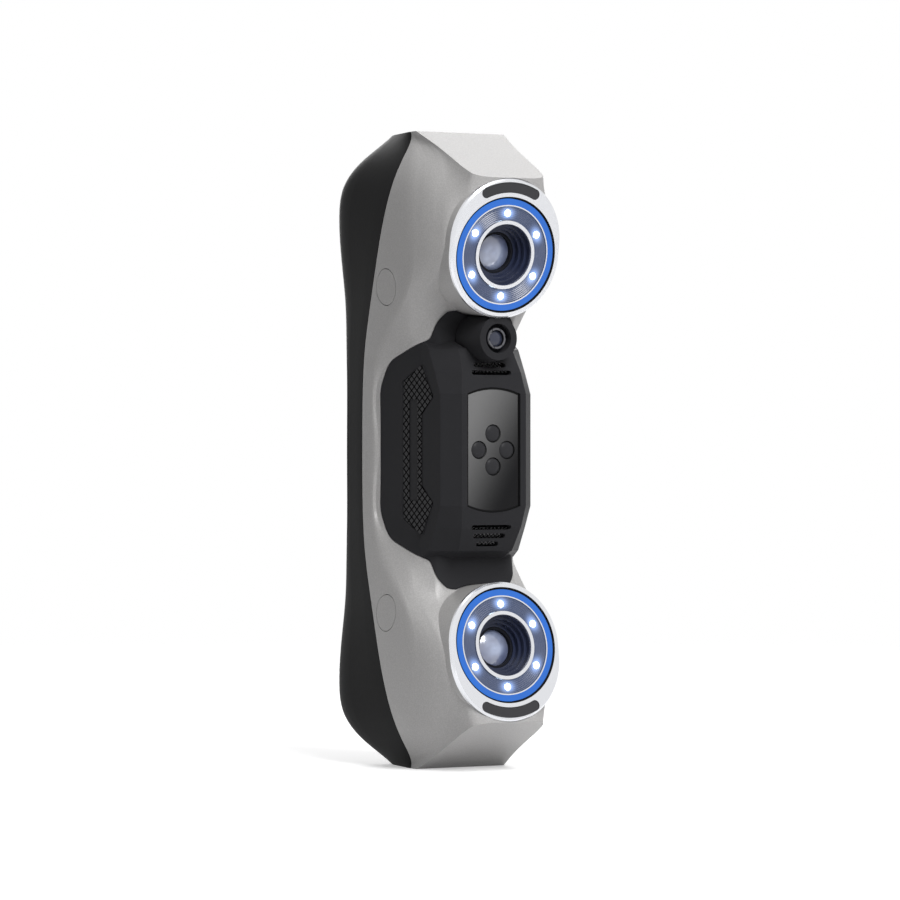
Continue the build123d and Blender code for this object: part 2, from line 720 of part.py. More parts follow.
# Black rear casing with lugs for the side screws and posts for both boards
with BuildPart() as rear_casing:
    add(envelope)
    add(cavity, mode=Mode.SUBTRACT)
    add(rear_region(0), mode=Mode.INTERSECT)
    add(grip_block(SEAM_GAP) - grip_core, mode=Mode.SUBTRACT)
    add(rear_holes(), mode=Mode.SUBTRACT)
    lug_outer_x = SCREW_BOSS_X - FIT_GAP
    for pod_side in SIDES.values():
        for hand in HANDS.values():
            with BuildSketch(Plane.XY.offset(MID_Z + pod_side * PLUG_HEIGHT - LUG_HALF_HEIGHT)):
                with BuildLine():
                    Polyline(
                        (hand * LUG_X, depth_y(LUG_FRONT_DEPTH)),
                        (hand * lug_outer_x, depth_y(LUG_FRONT_DEPTH)),
                        (hand * lug_outer_x, depth_y(LUG_STEP_DEPTH)),
                        (hand * LUG_STEP_X, depth_y(LUG_STEP_DEPTH)),
                        (hand * LUG_STEP_X, depth_y(LUG_BACK_DEPTH)),
                        (hand * LUG_X, depth_y(LUG_BACK_DEPTH)),
                        close=True,
                    )
                make_face()
            extrude(amount=LUG_HALF_HEIGHT * 2)
    for hand in HANDS.values():
        with BuildSketch(side_plane(hand * LUG_X)):
            with Locations(*plug_places()):
                Circle(SCREW_RADIUS + FIT_GAP)
        extrude(amount=hand * HALF_WIDTH, mode=Mode.SUBTRACT)
    with BuildSketch(rear_plane(MAIN_BOARD_DEPTH + BOARD_THICKNESS)):
        with GridLocations(MAIN_POST_X * 2, MAIN_POST_HALF * 2, 2, 2):
            Circle(MAIN_POST_RADIUS)
            Circle(SCREW_RADIUS + FIT_GAP, mode=Mode.SUBTRACT)
    extrude(amount=REAR_DEPTH - POST_SINK - MAIN_BOARD_DEPTH - BOARD_THICKNESS)
    with BuildSketch(rear_plane(BUTTON_BOARD_DEPTH + BOARD_THICKNESS)):
        with GridLocations(BUTTON_BOARD_WIDTH - BUTTON_POST_RADIUS * 2, BUTTON_POST_HALF * 2, 2, 2):
            Circle(BUTTON_POST_RADIUS)
    extrude(amount=REAR_DEPTH - GRIP_THICKNESS - POST_SINK - BUTTON_BOARD_DEPTH - BOARD_THICKNESS)
rear_casing.part.label = "rear_casing"
export_step(rear_casing.part, "parts/rear_casing.step")


# Rubber grip wrapped over the rear edges
with BuildPart() as rear_grip:
    add(envelope)
    add(grip_core, mode=Mode.SUBTRACT)
    add(grip_block(0), mode=Mode.INTERSECT)
    add(rear_holes(), mode=Mode.SUBTRACT)
rear_grip.part.label = "rear_grip"
export_step(rear_grip.part, "parts/rear_grip.step")


# Black centre bezel with the projector block, vents and the colour camera's boss
with BuildPart() as front_bezel:
    add(envelope)
    add(block_form(0))
    add(cavity, mode=Mode.SUBTRACT)
    add(block_form(BEZEL_WALL), mode=Mode.SUBTRACT)
    add(bezel_region(SEAM_GAP), mode=Mode.INTERSECT)
    with BuildSketch(front_plane(RGB_BOSS_DEPTH, RGB_HEIGHT)):
        Circle(RGB_BOSS_RADIUS)
    extrude(amount=RGB_BOSS_DEPTH - RGB_BOSS_ROOT_DEPTH, taper=-RGB_BOSS_DRAFT)
    add(barrel_clearance, mode=Mode.SUBTRACT)
    with BuildSketch(front_plane(0, RGB_HEIGHT)):
        Circle(RGB_BORE_RADIUS)
    extrude(amount=-BLOCK_BACK_DEPTH, mode=Mode.SUBTRACT)
    with BuildSketch(front_plane(0)):
        window_outline(FIT_GAP)
    extrude(amount=-(BLOCK_FRONT_DEPTH + WINDOW_SINK + WINDOW_THICKNESS), mode=Mode.SUBTRACT)
    with BuildSketch(front_plane(0)):
        window_outline(-WINDOW_LEDGE)
    extrude(amount=-MODULE_FRONT_DEPTH, mode=Mode.SUBTRACT)
    with BuildSketch(front_plane(0)):
        for height_share, length_share in VENT_SHARES:
            with Locations((0, height_share * BLOCK_FOOT_HALF)):
                SlotOverall(length_share * WINDOW_WIDTH, VENT_HEIGHT)
    extrude(amount=-BLOCK_ROOT_DEPTH, mode=Mode.SUBTRACT)
    add(grille_block(FIT_GAP), mode=Mode.SUBTRACT)
    add(plate_block(FIT_GAP, WIDTH), mode=Mode.SUBTRACT)
    with BuildSketch(side_plane(0)):
        with Locations((SOCKET_DEPTH, 0)):
            Circle(SOCKET_RADIUS + FIT_GAP)
        with Locations((SOCKET_DEPTH, -PORT_HEIGHT)):
            RectangleRounded(*port_section(FIT_GAP))
    extrude(amount=WIDTH, mode=Mode.SUBTRACT)
front_bezel.part.label = "front_bezel"
export_step(front_bezel.part, "parts/front_bezel.step")


# Meshed panel in the bezel's left side
with BuildPart() as side_grille_left:
    add(grille_block(0))
    add(side_slab(HANDS["left"], PANEL_SINK, WIDTH), mode=Mode.SUBTRACT)
side_grille_left.part.label = "side_grille_left"
export_step(side_grille_left.part, "parts/side_grille_left.step")


# Flat plate on the bezel's right side, with the socket and the connector in it
with BuildPart() as mount_plate:
    add(plate_block(0, PLATE_FACE_X))
    with BuildSketch(side_plane(0)):
        with Locations((SOCKET_DEPTH, 0)):
            Circle(SOCKET_RADIUS + FIT_GAP)
        with Locations((SOCKET_DEPTH, -PORT_HEIGHT)):
            RectangleRounded(*port_section(FIT_GAP))
    extrude(amount=WIDTH, mode=Mode.SUBTRACT)
mount_plate.part.label = "mount_plate"
export_step(mount_plate.part, "parts/mount_plate.step")


# Projector window, its four lens cells and the module behind them
with BuildPart() as projector_window:
    with BuildSketch(front_plane(BLOCK_FRONT_DEPTH + WINDOW_SINK)):
        window_outline(0)
        with PolarLocations(CELL_PITCH, CELL_COUNT):
            Circle(CELL_RADIUS + FIT_GAP, mode=Mode.SUBTRACT)
    extrude(amount=-WINDOW_THICKNESS)
projector_window.part.label = "projector_window"
export_step(projector_window.part, "parts/projector_window.step")

cell_front = BLOCK_FRONT_DEPTH + WINDOW_SINK + CELL_SINK
with BuildPart() as projector_lenses:
    with BuildSketch(front_plane(cell_front)):
        with PolarLocations(CELL_PITCH, CELL_COUNT):
            Circle(CELL_RADIUS)
    extrude(amount=cell_front - MODULE_FRONT_DEPTH)
    front_faces = projector_lenses.faces().filter_by(Plane.XZ).group_by(Axis.Y)[0]
    fillet(front_faces.edges(), CELL_ROUND)
projector_lenses.part.label = "projector_lenses"
export_step(projector_lenses.part, "parts/projector_lenses.step")

with BuildPart() as projector_module:
    with BuildSketch(front_plane(MODULE_FRONT_DEPTH)):
        Rectangle(MODULE_WIDTH, MODULE_HEIGHT)
    extrude(amount=MODULE_FRONT_DEPTH - BENCH_FRONT_DEPTH)
projector_module.part.label = "projector_module"
export_step(projector_module.part, "parts/projector_module.step")


# Mesh behind the vent slots, under the sloped walls of the block
rgb_flare = (RGB_BOSS_ROOT_DEPTH - RGB_BOSS_DEPTH) * tan(radians(RGB_BOSS_DRAFT))
rgb_root_radius = RGB_BOSS_RADIUS + rgb_flare
for end_name, pod_side in SIDES.items():
    knee = Vector(BLOCK_KNEE_DEPTH, BLOCK_KNEE_HALF)
    foot = Vector(BLOCK_FOOT_DEPTH, BLOCK_FOOT_HALF)
    along = (foot - knee).normalized()
    inwards = Vector(along.Y, -along.X)
    mesh_low = knee + along * VENT_MESH_MARGIN + inwards * BEZEL_WALL
    mesh_high = foot - along * VENT_MESH_MARGIN + inwards * BEZEL_WALL
    mesh_corners = [mesh_low, mesh_high]
    mesh_corners += [mesh_high + inwards * VENT_MESH_THICKNESS, mesh_low + inwards * VENT_MESH_THICKNESS]
    with BuildPart() as vent_mesh:
        with BuildSketch(Plane.YZ):
            with BuildLine():
                line = [(depth_y(point.X), MID_Z + pod_side * point.Y) for point in mesh_corners]
                Polyline(*line, close=True)
            make_face()
        extrude(amount=VENT_MESH_WIDTH / 2, both=True)
        with BuildSketch(front_plane(0, RGB_HEIGHT)):
            Circle(rgb_root_radius + SEAM_GAP)
        extrude(amount=-BLOCK_BACK_DEPTH, mode=Mode.SUBTRACT)
    vent_mesh.part.label = f"vent_mesh_{end_name}"
    export_step(vent_mesh.part, f"parts/vent_mesh_{end_name}.step")


# Colour camera in its boss
rgb_nose_depth = RGB_BOSS_DEPTH + RGB_NOSE_SINK
rgb_step_depth = rgb_nose_depth + RGB_NOSE_LENGTH
with BuildPart() as rgb_barrel:
    with BuildSketch(front_plane(rgb_step_depth, RGB_HEIGHT)):
        Circle(RGB_BORE_RADIUS - FIT_GAP)
    extrude(amount=rgb_step_depth - RGB_BARREL_REAR_DEPTH)
    with BuildSketch(front_plane(rgb_step_depth, RGB_HEIGHT)):
        Circle(RGB_NOSE_RADIUS)
    extrude(amount=RGB_NOSE_LENGTH)
    with BuildSketch(front_plane(rgb_nose_depth, RGB_HEIGHT)):
        Circle(RGB_LENS_RADIUS + FIT_GAP)
    extrude(amount=-(RGB_LENS_SINK + RGB_LENS_THICKNESS), mode=Mode.SUBTRACT)
rgb_barrel.part.label = "rgb_barrel"
export_step(rgb_barrel.part, "parts/rgb_barrel.step")

with BuildPart() as rgb_lens:
    with BuildSketch(Plane(origin=(0, depth_y(rgb_nose_depth), MID_Z + RGB_HEIGHT), z_dir=(0, 0, 1))):
        lens_rear = RGB_LENS_SINK + RGB_LENS_THICKNESS
        lens_edge = RGB_LENS_SINK + RGB_LENS_BULGE
        with BuildLine():
            ThreePointArc(
                (-RGB_LENS_RADIUS, lens_edge), (0, RGB_LENS_SINK), (RGB_LENS_RADIUS, lens_edge)
            )
            Polyline(
                (RGB_LENS_RADIUS, lens_edge),
                (RGB_LENS_RADIUS, lens_rear),
                (-RGB_LENS_RADIUS, lens_rear),
                (-RGB_LENS_RADIUS, lens_edge),
            )
        make_face()
        split(bisect_by=Plane.YZ)
    revolve(axis=Axis((0, 0, MID_Z + RGB_HEIGHT), (0, 1, 0)))
rgb_lens.part.label = "rgb_lens"
export_step(rgb_lens.part, "parts/rgb_lens.step")

with BuildPart() as rgb_board:
    with BuildSketch(front_plane(RGB_BARREL_REAR_DEPTH, RGB_HEIGHT)):
        Rectangle(RGB_BOARD_SIZE, RGB_BOARD_SIZE)
    extrude(amount=-BOARD_THICKNESS)
rgb_board.part.label = "rgb_board"
export_step(rgb_board.part, "parts/rgb_board.step")


# Threaded tripod socket and connector in the flat side plate
with BuildPart() as tripod_bush:
    with BuildSketch(side_plane(PLATE_FACE_X)):
        with Locations((SOCKET_DEPTH, 0)):
            Circle(SOCKET_RADIUS)
    extrude(amount=-SOCKET_LENGTH)
    with BuildSketch(side_plane(PLATE_FACE_X - SOCKET_LENGTH)):
        with Locations((SOCKET_DEPTH, 0)):
            Circle(SOCKET_FLANGE_RADIUS)
    extrude(amount=SOCKET_FLANGE_THICKNESS)
    with BuildSketch(side_plane(PLATE_FACE_X)):
        with Locations((SOCKET_DEPTH, 0)):
            Circle(THREAD_RADIUS)
    extrude(amount=-THREAD_LENGTH, mode=Mode.SUBTRACT)
tripod_bush.part.label = "tripod_bush"
export_step(tripod_bush.part, "parts/tripod_bush.step")

with BuildPart() as usb_port:
    with BuildSketch(side_plane(PLATE_FACE_X - PORT_SINK)):
        with Locations((SOCKET_DEPTH, -PORT_HEIGHT)):
            RectangleRounded(PORT_THICKNESS, PORT_WIDTH, PORT_THICKNESS / 2 - FIT_GAP)
    extrude(amount=-PORT_LENGTH)
    with BuildSketch(side_plane(PLATE_FACE_X - PORT_SINK)):
        with Locations((SOCKET_DEPTH, -PORT_HEIGHT)):
            RectangleRounded(
                PORT_THICKNESS - PORT_WALL * 2,
                PORT_WIDTH - PORT_WALL * 2,
                PORT_THICKNESS / 2 - PORT_WALL - FIT_GAP,
            )
            Rectangle(PORT_TONGUE_THICKNESS, PORT_TONGUE_WIDTH, mode=Mode.SUBTRACT)
    extrude(amount=PORT_WALL * 2 - PORT_LENGTH, mode=Mode.SUBTRACT)
usb_port.part.label = "usb_port"
export_step(usb_port.part, "parts/usb_port.step")


# Flush plugs on the silver sides and the screws under them
with BuildPart() as side_plugs:
    for hand in HANDS.values():
        with BuildSketch(side_plane(hand * PLUG_FLOOR_X)):
            with Locations(*plug_places()):
                Circle(PLUG_RADIUS)
        extrude(amount=hand * HALF_WIDTH)
    add(envelope, mode=Mode.INTERSECT)
side_plugs.part.label = "side_plugs"
export_step(side_plugs.part, "parts/side_plugs.step")

with BuildPart() as side_screws:
    for hand in HANDS.values():
        with BuildSketch(side_plane(hand * SCREW_SEAT_X)):
            with Locations(*plug_places()):
                Circle(SCREW_HEAD_RADIUS)
        extrude(amount=hand * SCREW_HEAD_HEIGHT)
        with BuildSketch(side_plane(hand * SCREW_SEAT_X)):
            with Locations(*plug_places()):
                Circle(SCREW_RADIUS)
        extrude(amount=-hand * SCREW_LENGTH)
        with BuildSketch(side_plane(hand * (SCREW_SEAT_X + SCREW_HEAD_HEIGHT))):
            with Locations(*plug_places()):
                RegularPolygon(SCREW_SOCKET_RADIUS, 6)
        extrude(amount=-hand * SCREW_HEAD_HEIGHT / 2, mode=Mode.SUBTRACT)
side_screws.part.label = "side_screws"
export_step(side_screws.part, "parts/side_screws.step")


def pod_axis(side):
    """Axis of a pod's camera, pointing out of the lens."""
    return Axis(pod_plane(side).origin, pod_plane(side).z_dir)


def pod_half_plane(side):
    """Plane through a pod's axis, with the radius across and the way out of the lens up."""
    return Plane(origin=pod_plane(side).origin, x_dir=(1, 0, 0), z_dir=(0, side * TOE_SIN, -TOE_COS))


def arc_window(side, grow):
    """Arc-shaped window beyond the lens, drawn on the pod's own plane."""
    with BuildLine() as middle:
        CenterArc((0, 0), ARC_RADIUS, side * 90 - ARC_SWEEP / 2, ARC_SWEEP)
    return SlotArc(middle.wire(), ARC_HEIGHT + grow * 2)


def ring(outer_radius, inner_radius):
    """Flat ring on the current plane."""
    Circle(outer_radius)
    Circle(inner_radius, mode=Mode.SUBTRACT)


cover_rear = COVER_FRONT_DEPTH + COVER_THICKNESS
led_board_depth = POD_SHOULDER_DEPTH - BOARD_THICKNESS
cover_radius = GLOW_INNER_RADIUS - FIT_GAP
hood_bore_radius = NOSE_RADIUS + FIT_GAP
camera_board_rear = BARREL_REAR_DEPTH + BOARD_THICKNESS

for end_name, pod_side in SIDES.items():
    # Bright oval face with its arc window
    with BuildPart() as pod_ring:
        with BuildSketch(pod_plane(pod_side)):
            pod_outline(pod_side, 0)
            Circle(POD_BORE_RADIUS, mode=Mode.SUBTRACT)
        extrude(amount=-POD_RING_THICKNESS)
        face = pod_ring.faces().filter_by(pod_plane(pod_side)).sort_by(Axis.Y)[0]
        chamfer(face.outer_wire().edges(), POD_RING_CHAMFER)
        with BuildSketch(pod_plane(pod_side)):
            arc_window(pod_side, FIT_GAP)
        extrude(amount=-POD_RING_THICKNESS, mode=Mode.SUBTRACT)
    pod_ring.part.label = f"pod_ring_{end_name}"
    export_step(pod_ring.part, f"parts/pod_ring_{end_name}.step")

    with BuildPart() as pod_window:
        with BuildSketch(pod_plane(pod_side, ARC_SINK)):
            arc_window(pod_side, 0)
        extrude(amount=ARC_SINK - POD_RING_THICKNESS)
    pod_window.part.label = f"pod_window_{end_name}"
    export_step(pod_window.part, f"parts/pod_window_{end_name}.step")

    # Black gasket, blue light guide and the thin bright ring inside it
    with BuildPart() as pod_gasket:
        with BuildSketch(pod_plane(pod_side, GASKET_SINK)):
            ring(POD_BORE_RADIUS - FIT_GAP, POD_BORE_RADIUS - FIT_GAP - GASKET_WALL)
        extrude(amount=GASKET_SINK - POD_SHOULDER_DEPTH)
    pod_gasket.part.label = f"pod_gasket_{end_name}"
    export_step(pod_gasket.part, f"parts/pod_gasket_{end_name}.step")

    with BuildPart() as glow_ring:
        with BuildSketch(pod_plane(pod_side, RING_SINK)):
            ring(GLOW_OUTER_RADIUS, GLOW_INNER_RADIUS)
        extrude(amount=RING_SINK - led_board_depth)
        with BuildSketch(pod_plane(pod_side, cover_rear)):
            ring(GLOW_OUTER_RADIUS, GLOW_STEP_RADIUS)
        extrude(amount=-GLOW_STEP_THICKNESS)
    glow_ring.part.label = f"glow_ring_{end_name}"
    export_step(glow_ring.part, f"parts/glow_ring_{end_name}.step")

    with BuildPart() as bright_ring:
        with BuildSketch(pod_plane(pod_side, RING_SINK)):
            ring(cover_radius, cover_radius - BRIGHT_RING_WIDTH)
        extrude(amount=RING_SINK - COVER_FRONT_DEPTH)
    bright_ring.part.label = f"bright_ring_{end_name}"
    export_step(bright_ring.part, f"parts/bright_ring_{end_name}.step")

    # Clear cover over the ring of lights, and their board
    with BuildPart() as led_cover:
        with BuildSketch(pod_plane(pod_side, COVER_FRONT_DEPTH)):
            ring(cover_radius, COVER_INNER_RADIUS)
        extrude(amount=-COVER_THICKNESS)
    led_cover.part.label = f"led_cover_{end_name}"
    export_step(led_cover.part, f"parts/led_cover_{end_name}.step")

    with BuildPart() as leds:
        with BuildSketch(pod_plane(pod_side, led_board_depth)):
            with PolarLocations(LED_CIRCLE_RADIUS, LED_COUNT, start_angle=90):
                Rectangle(LED_SIZE, LED_SIZE)
        extrude(amount=LED_BASE_HEIGHT)
        with BuildSketch(pod_plane(pod_side, led_board_depth - LED_BASE_HEIGHT)):
            with PolarLocations(LED_CIRCLE_RADIUS, LED_COUNT, start_angle=90):
                Circle(LED_DOME_RADIUS)
        extrude(amount=LED_DOME_HEIGHT)
    leds.part.label = f"leds_{end_name}"
    export_step(leds.part, f"parts/leds_{end_name}.step")

    with BuildPart() as led_board:
        with BuildSketch(pod_plane(pod_side, led_board_depth)):
            ring(GLOW_OUTER_RADIUS - FIT_GAP, COVER_INNER_RADIUS)
        extrude(amount=-BOARD_THICKNESS)
    led_board.part.label = f"led_board_{end_name}"
    export_step(led_board.part, f"parts/led_board_{end_name}.step")

    # Stepped hood round the lens, with its bright trim
    with BuildPart() as lens_hood:
        with BuildSketch(pod_plane(pod_side, HOOD_FRONT_DEPTH)):
            ring(HOOD_RADIUS, hood_bore_radius)
        extrude(amount=HOOD_FRONT_DEPTH - POD_SHOULDER_DEPTH)
        for step in range(HOOD_STEPS):
            with BuildSketch(pod_plane(pod_side, HOOD_FRONT_DEPTH)):
                Circle(HOOD_MOUTH_RADIUS - step * HOOD_STEP_WIDTH)
            extrude(amount=-(step + 1) * HOOD_STEP_DEPTH, mode=Mode.SUBTRACT)
    lens_hood.part.label = f"lens_hood_{end_name}"
    export_step(lens_hood.part, f"parts/lens_hood_{end_name}.step")

    with BuildPart() as trim_ring:
        with BuildSketch(pod_plane(pod_side, RING_SINK)):
            ring(HOOD_RADIUS, TRIM_INNER_RADIUS)
        extrude(amount=RING_SINK - HOOD_FRONT_DEPTH)
    trim_ring.part.label = f"trim_ring_{end_name}"
    export_step(trim_ring.part, f"parts/trim_ring_{end_name}.step")

    # Camera barrel with its front lens, and the sensor board behind it
    with BuildPart() as camera_barrel:
        with BuildSketch(pod_plane(pod_side, NOSE_FRONT_DEPTH)):
            Circle(NOSE_RADIUS)
        extrude(amount=NOSE_FRONT_DEPTH - POD_FLOOR_DEPTH)
        with BuildSketch(pod_plane(pod_side, POD_FLOOR_DEPTH)):
            Circle(BARREL_FLANGE_RADIUS)
        extrude(amount=-BARREL_FLANGE_THICKNESS)
        with BuildSketch(pod_plane(pod_side, POD_FLOOR_DEPTH)):
            Circle(BARREL_RADIUS)
        extrude(amount=POD_FLOOR_DEPTH - BARREL_REAR_DEPTH)
        with BuildSketch(pod_plane(pod_side, NOSE_FRONT_DEPTH)):
            Circle(LENS_RADIUS + FIT_GAP)
        extrude(amount=-LENS_SEAT_LENGTH, mode=Mode.SUBTRACT)
    camera_barrel.part.label = f"camera_barrel_{end_name}"
    export_step(camera_barrel.part, f"parts/camera_barrel_{end_name}.step")

    lens_top = NOSE_FRONT_DEPTH + LENS_SINK
    lens_rim = lens_top + LENS_BULGE
    lens_seat = NOSE_FRONT_DEPTH + LENS_SEAT_LENGTH
    with BuildPart() as camera_lens:
        with BuildSketch(pod_half_plane(pod_side)):
            with BuildLine():
                ThreePointArc((-LENS_RADIUS, -lens_rim), (0, -lens_top), (LENS_RADIUS, -lens_rim))
                Polyline(
                    (LENS_RADIUS, -lens_rim),
                    (LENS_RADIUS, -lens_seat),
                    (-LENS_RADIUS, -lens_seat),
                    (-LENS_RADIUS, -lens_rim),
                )
            make_face()
            split(bisect_by=Plane.YZ)
        revolve(axis=pod_axis(pod_side))
    camera_lens.part.label = f"camera_lens_{end_name}"
    export_step(camera_lens.part, f"parts/camera_lens_{end_name}.step")

    with BuildPart() as camera_board:
        with BuildSketch(pod_plane(pod_side, BARREL_REAR_DEPTH)):
            Rectangle(CAMERA_BOARD_SIZE, CAMERA_BOARD_SIZE)
            with GridLocations(BENCH_SCREW_X * 2, BENCH_SCREW_X * 2, 2, 2):
                Circle(BOARD_SCREW_RADIUS + FIT_GAP, mode=Mode.SUBTRACT)
        extrude(amount=-BOARD_THICKNESS)
    camera_board.part.label = f"camera_board_{end_name}"
    export_step(camera_board.part, f"parts/camera_board_{end_name}.step")


# Optical bench that holds both cameras and the projector in line
bench_half = []
for reach in (-CAMERA_BOARD_SIZE / 2, CAMERA_BOARD_SIZE / 2):
    pad = pod_plane(SIDES["upper"], camera_board_rear).from_local_coords((0, reach, 0))
    bench_half.append((pad.Y, pad.Z - MID_Z))
bench_half.insert(0, (depth_y(BENCH_FRONT_DEPTH), bench_half[0][1]))
bench_half.append((depth_y(BENCH_FRONT_DEPTH + BENCH_THICKNESS), bench_half[-1][1]))
with BuildPart() as optical_bench:
    with BuildSketch(Plane.YZ):
        with BuildLine():
            Polyline(
                *[(y, MID_Z + height) for y, height in bench_half],
                *[(y, MID_Z - height) for y, height in reversed(bench_half)],
                close=True,
            )
        make_face()
    extrude(amount=BENCH_HALF_WIDTH, both=True)
    for pod_side in SIDES.values():
        with BuildSketch(pod_plane(pod_side, camera_board_rear)):
            with GridLocations(BENCH_SCREW_X * 2, BENCH_SCREW_X * 2, 2, 2):
                Circle(BOARD_SCREW_RADIUS + FIT_GAP)
        extrude(amount=-BOARD_SCREW_LENGTH, mode=Mode.SUBTRACT)
optical_bench.part.label = "optical_bench"
export_step(optical_bench.part, "parts/optical_bench.step")

with BuildPart() as bench_screws:
    for pod_side in SIDES.values():
        with BuildSketch(pod_plane(pod_side, BARREL_REAR_DEPTH)):
            with GridLocations(BENCH_SCREW_X * 2, BENCH_SCREW_X * 2, 2, 2):
                Circle(BOARD_SCREW_HEAD_RADIUS)
        extrude(amount=BOARD_SCREW_HEAD_HEIGHT)
        with BuildSketch(pod_plane(pod_side, BARREL_REAR_DEPTH)):
            with GridLocations(BENCH_SCREW_X * 2, BENCH_SCREW_X * 2, 2, 2):
                Circle(BOARD_SCREW_RADIUS)
        extrude(amount=-BOARD_SCREW_LENGTH)
bench_screws.part.label = "bench_screws"
export_step(bench_screws.part, "parts/bench_screws.step")


# Heat sink behind the bench, with the fan on its fins
sink_depth = BENCH_FRONT_DEPTH + BENCH_THICKNESS
fan_depth = sink_depth + SINK_BASE_THICKNESS + SINK_FIN_HEIGHT
strut_depth = fan_depth + FAN_THICKNESS - FAN_STRUT_THICKNESS
with BuildPart() as heat_sink:
    with BuildSketch(rear_plane(sink_depth)):
        Rectangle(COOLER_SIZE, COOLER_SIZE)
    extrude(amount=SINK_BASE_THICKNESS)
    with BuildSketch(rear_plane(sink_depth + SINK_BASE_THICKNESS)):
        with GridLocations((COOLER_SIZE - SINK_FIN_THICKNESS) / (SINK_FINS - 1), 0, SINK_FINS, 1):
            Rectangle(SINK_FIN_THICKNESS, COOLER_SIZE)
    extrude(amount=SINK_FIN_HEIGHT)
heat_sink.part.label = "heat_sink"
export_step(heat_sink.part, "parts/heat_sink.step")

with BuildPart() as cooling_fan:
    with BuildSketch(rear_plane(fan_depth)):
        Rectangle(COOLER_SIZE, COOLER_SIZE)
        Circle(FAN_BORE_RADIUS, mode=Mode.SUBTRACT)
    extrude(amount=FAN_THICKNESS)
    with BuildSketch(rear_plane(strut_depth)):
        Circle(FAN_HUB_RADIUS)
        with PolarLocations(FAN_BORE_RADIUS / 2, FAN_STRUTS):
            Rectangle(FAN_BORE_RADIUS + FAN_STRUT_WIDTH / 2, FAN_STRUT_WIDTH)
    extrude(amount=FAN_STRUT_THICKNESS)
    with BuildSketch(rear_plane(strut_depth)):
        Circle(FAN_SHAFT_RADIUS)
    extrude(amount=fan_depth + FAN_CAP_THICKNESS + FAN_RUNNING_GAP * 2 - strut_depth)
cooling_fan.part.label = "cooling_fan"
export_step(cooling_fan.part, "parts/cooling_fan.step")

rotor_front = fan_depth + FAN_RUNNING_GAP
rotor_rear = strut_depth - FAN_RUNNING_GAP
with BuildPart() as fan_rotor:
    with BuildSketch(rear_plane(rotor_front)):
        Circle(FAN_HUB_RADIUS)
    extrude(amount=rotor_rear - rotor_front)
    for blade in range(FAN_BLADES):
        turn = radians(blade * 360 / FAN_BLADES)
        outwards = Vector(cos(turn), 0, sin(turn))
        sideways = Vector(-sin(turn), 0, cos(turn))
        pitch = radians(FAN_BLADE_PITCH)
        normal = sideways * cos(pitch) + Vector(0, sin(pitch), 0)
        hub_middle = Vector(0, depth_y((rotor_front + rotor_rear) / 2), MID_Z)
        blade_middle = hub_middle + outwards * (FAN_BLADE_TIP / 2) - normal * (FAN_BLADE_THICKNESS / 2)
        with BuildSketch(Plane(origin=blade_middle, x_dir=outwards, z_dir=normal)):
            Rectangle(FAN_BLADE_TIP, FAN_BLADE_CHORD)
        extrude(amount=FAN_BLADE_THICKNESS)
    with BuildSketch(rear_plane(rotor_front + FAN_CAP_THICKNESS)):
        Circle(FAN_SHAFT_RADIUS + FAN_SHAFT_FIT)
    extrude(amount=FAN_THICKNESS, mode=Mode.SUBTRACT)
fan_rotor.part.label = "fan_rotor"
export_step(fan_rotor.part, "parts/fan_rotor.step")


# Main board on the rear casing's posts
with BuildPart() as main_board:
    with BuildSketch(rear_plane(MAIN_BOARD_DEPTH)):
        Rectangle(MAIN_BOARD_WIDTH, MAIN_BOARD_HALF * 2)
        with GridLocations(MAIN_POST_X * 2, MAIN_POST_HALF * 2, 2, 2):
            Circle(SCREW_RADIUS + FIT_GAP, mode=Mode.SUBTRACT)
    extrude(amount=BOARD_THICKNESS)
main_board.part.label = "main_board"
export_step(main_board.part, "parts/main_board.step")

with BuildPart() as board_chips:
    with BuildSketch(front_plane(MAIN_BOARD_DEPTH)):
        for across_share, up_share, width_share, height_share in CHIP_SHARES:
            with Locations((across_share * MAIN_BOARD_WIDTH, up_share * MAIN_BOARD_HALF)):
                Rectangle(width_share * MAIN_BOARD_WIDTH, height_share * MAIN_BOARD_HALF * 2)
    extrude(amount=CHIP_THICKNESS)
board_chips.part.label = "board_chips"
export_step(board_chips.part, "parts/board_chips.step")

with BuildPart() as board_screws:
    with BuildSketch(front_plane(MAIN_BOARD_DEPTH)):
        with GridLocations(MAIN_POST_X * 2, MAIN_POST_HALF * 2, 2, 2):
            Circle(BOARD_SCREW_HEAD_RADIUS)
    extrude(amount=BOARD_SCREW_HEAD_HEIGHT)
    with BuildSketch(front_plane(MAIN_BOARD_DEPTH)):
        with GridLocations(MAIN_POST_X * 2, MAIN_POST_HALF * 2, 2, 2):
            Circle(SCREW_RADIUS)
    extrude(amount=-BOARD_SCREW_LENGTH)
board_screws.part.label = "board_screws"
export_step(board_screws.part, "parts/board_screws.step")


# Rear buttons over their switches, and the light pipe above them
switch_rear = BUTTON_BOARD_DEPTH + BOARD_THICKNESS + SWITCH_THICKNESS
stem_front = switch_rear + SWITCH_STROKE + BUTTON_TRAVEL + FIT_GAP
flange_rear = REAR_DEPTH - SHELL_WALL - FIT_GAP
flange_front = flange_rear - BUTTON_FLANGE_THICKNESS
with BuildPart() as button_board:
    with BuildSketch(rear_plane(BUTTON_BOARD_DEPTH)):
        Rectangle(BUTTON_BOARD_WIDTH, BUTTON_BOARD_HALF * 2)
    extrude(amount=BOARD_THICKNESS)
button_board.part.label = "button_board"
export_step(button_board.part, "parts/button_board.step")

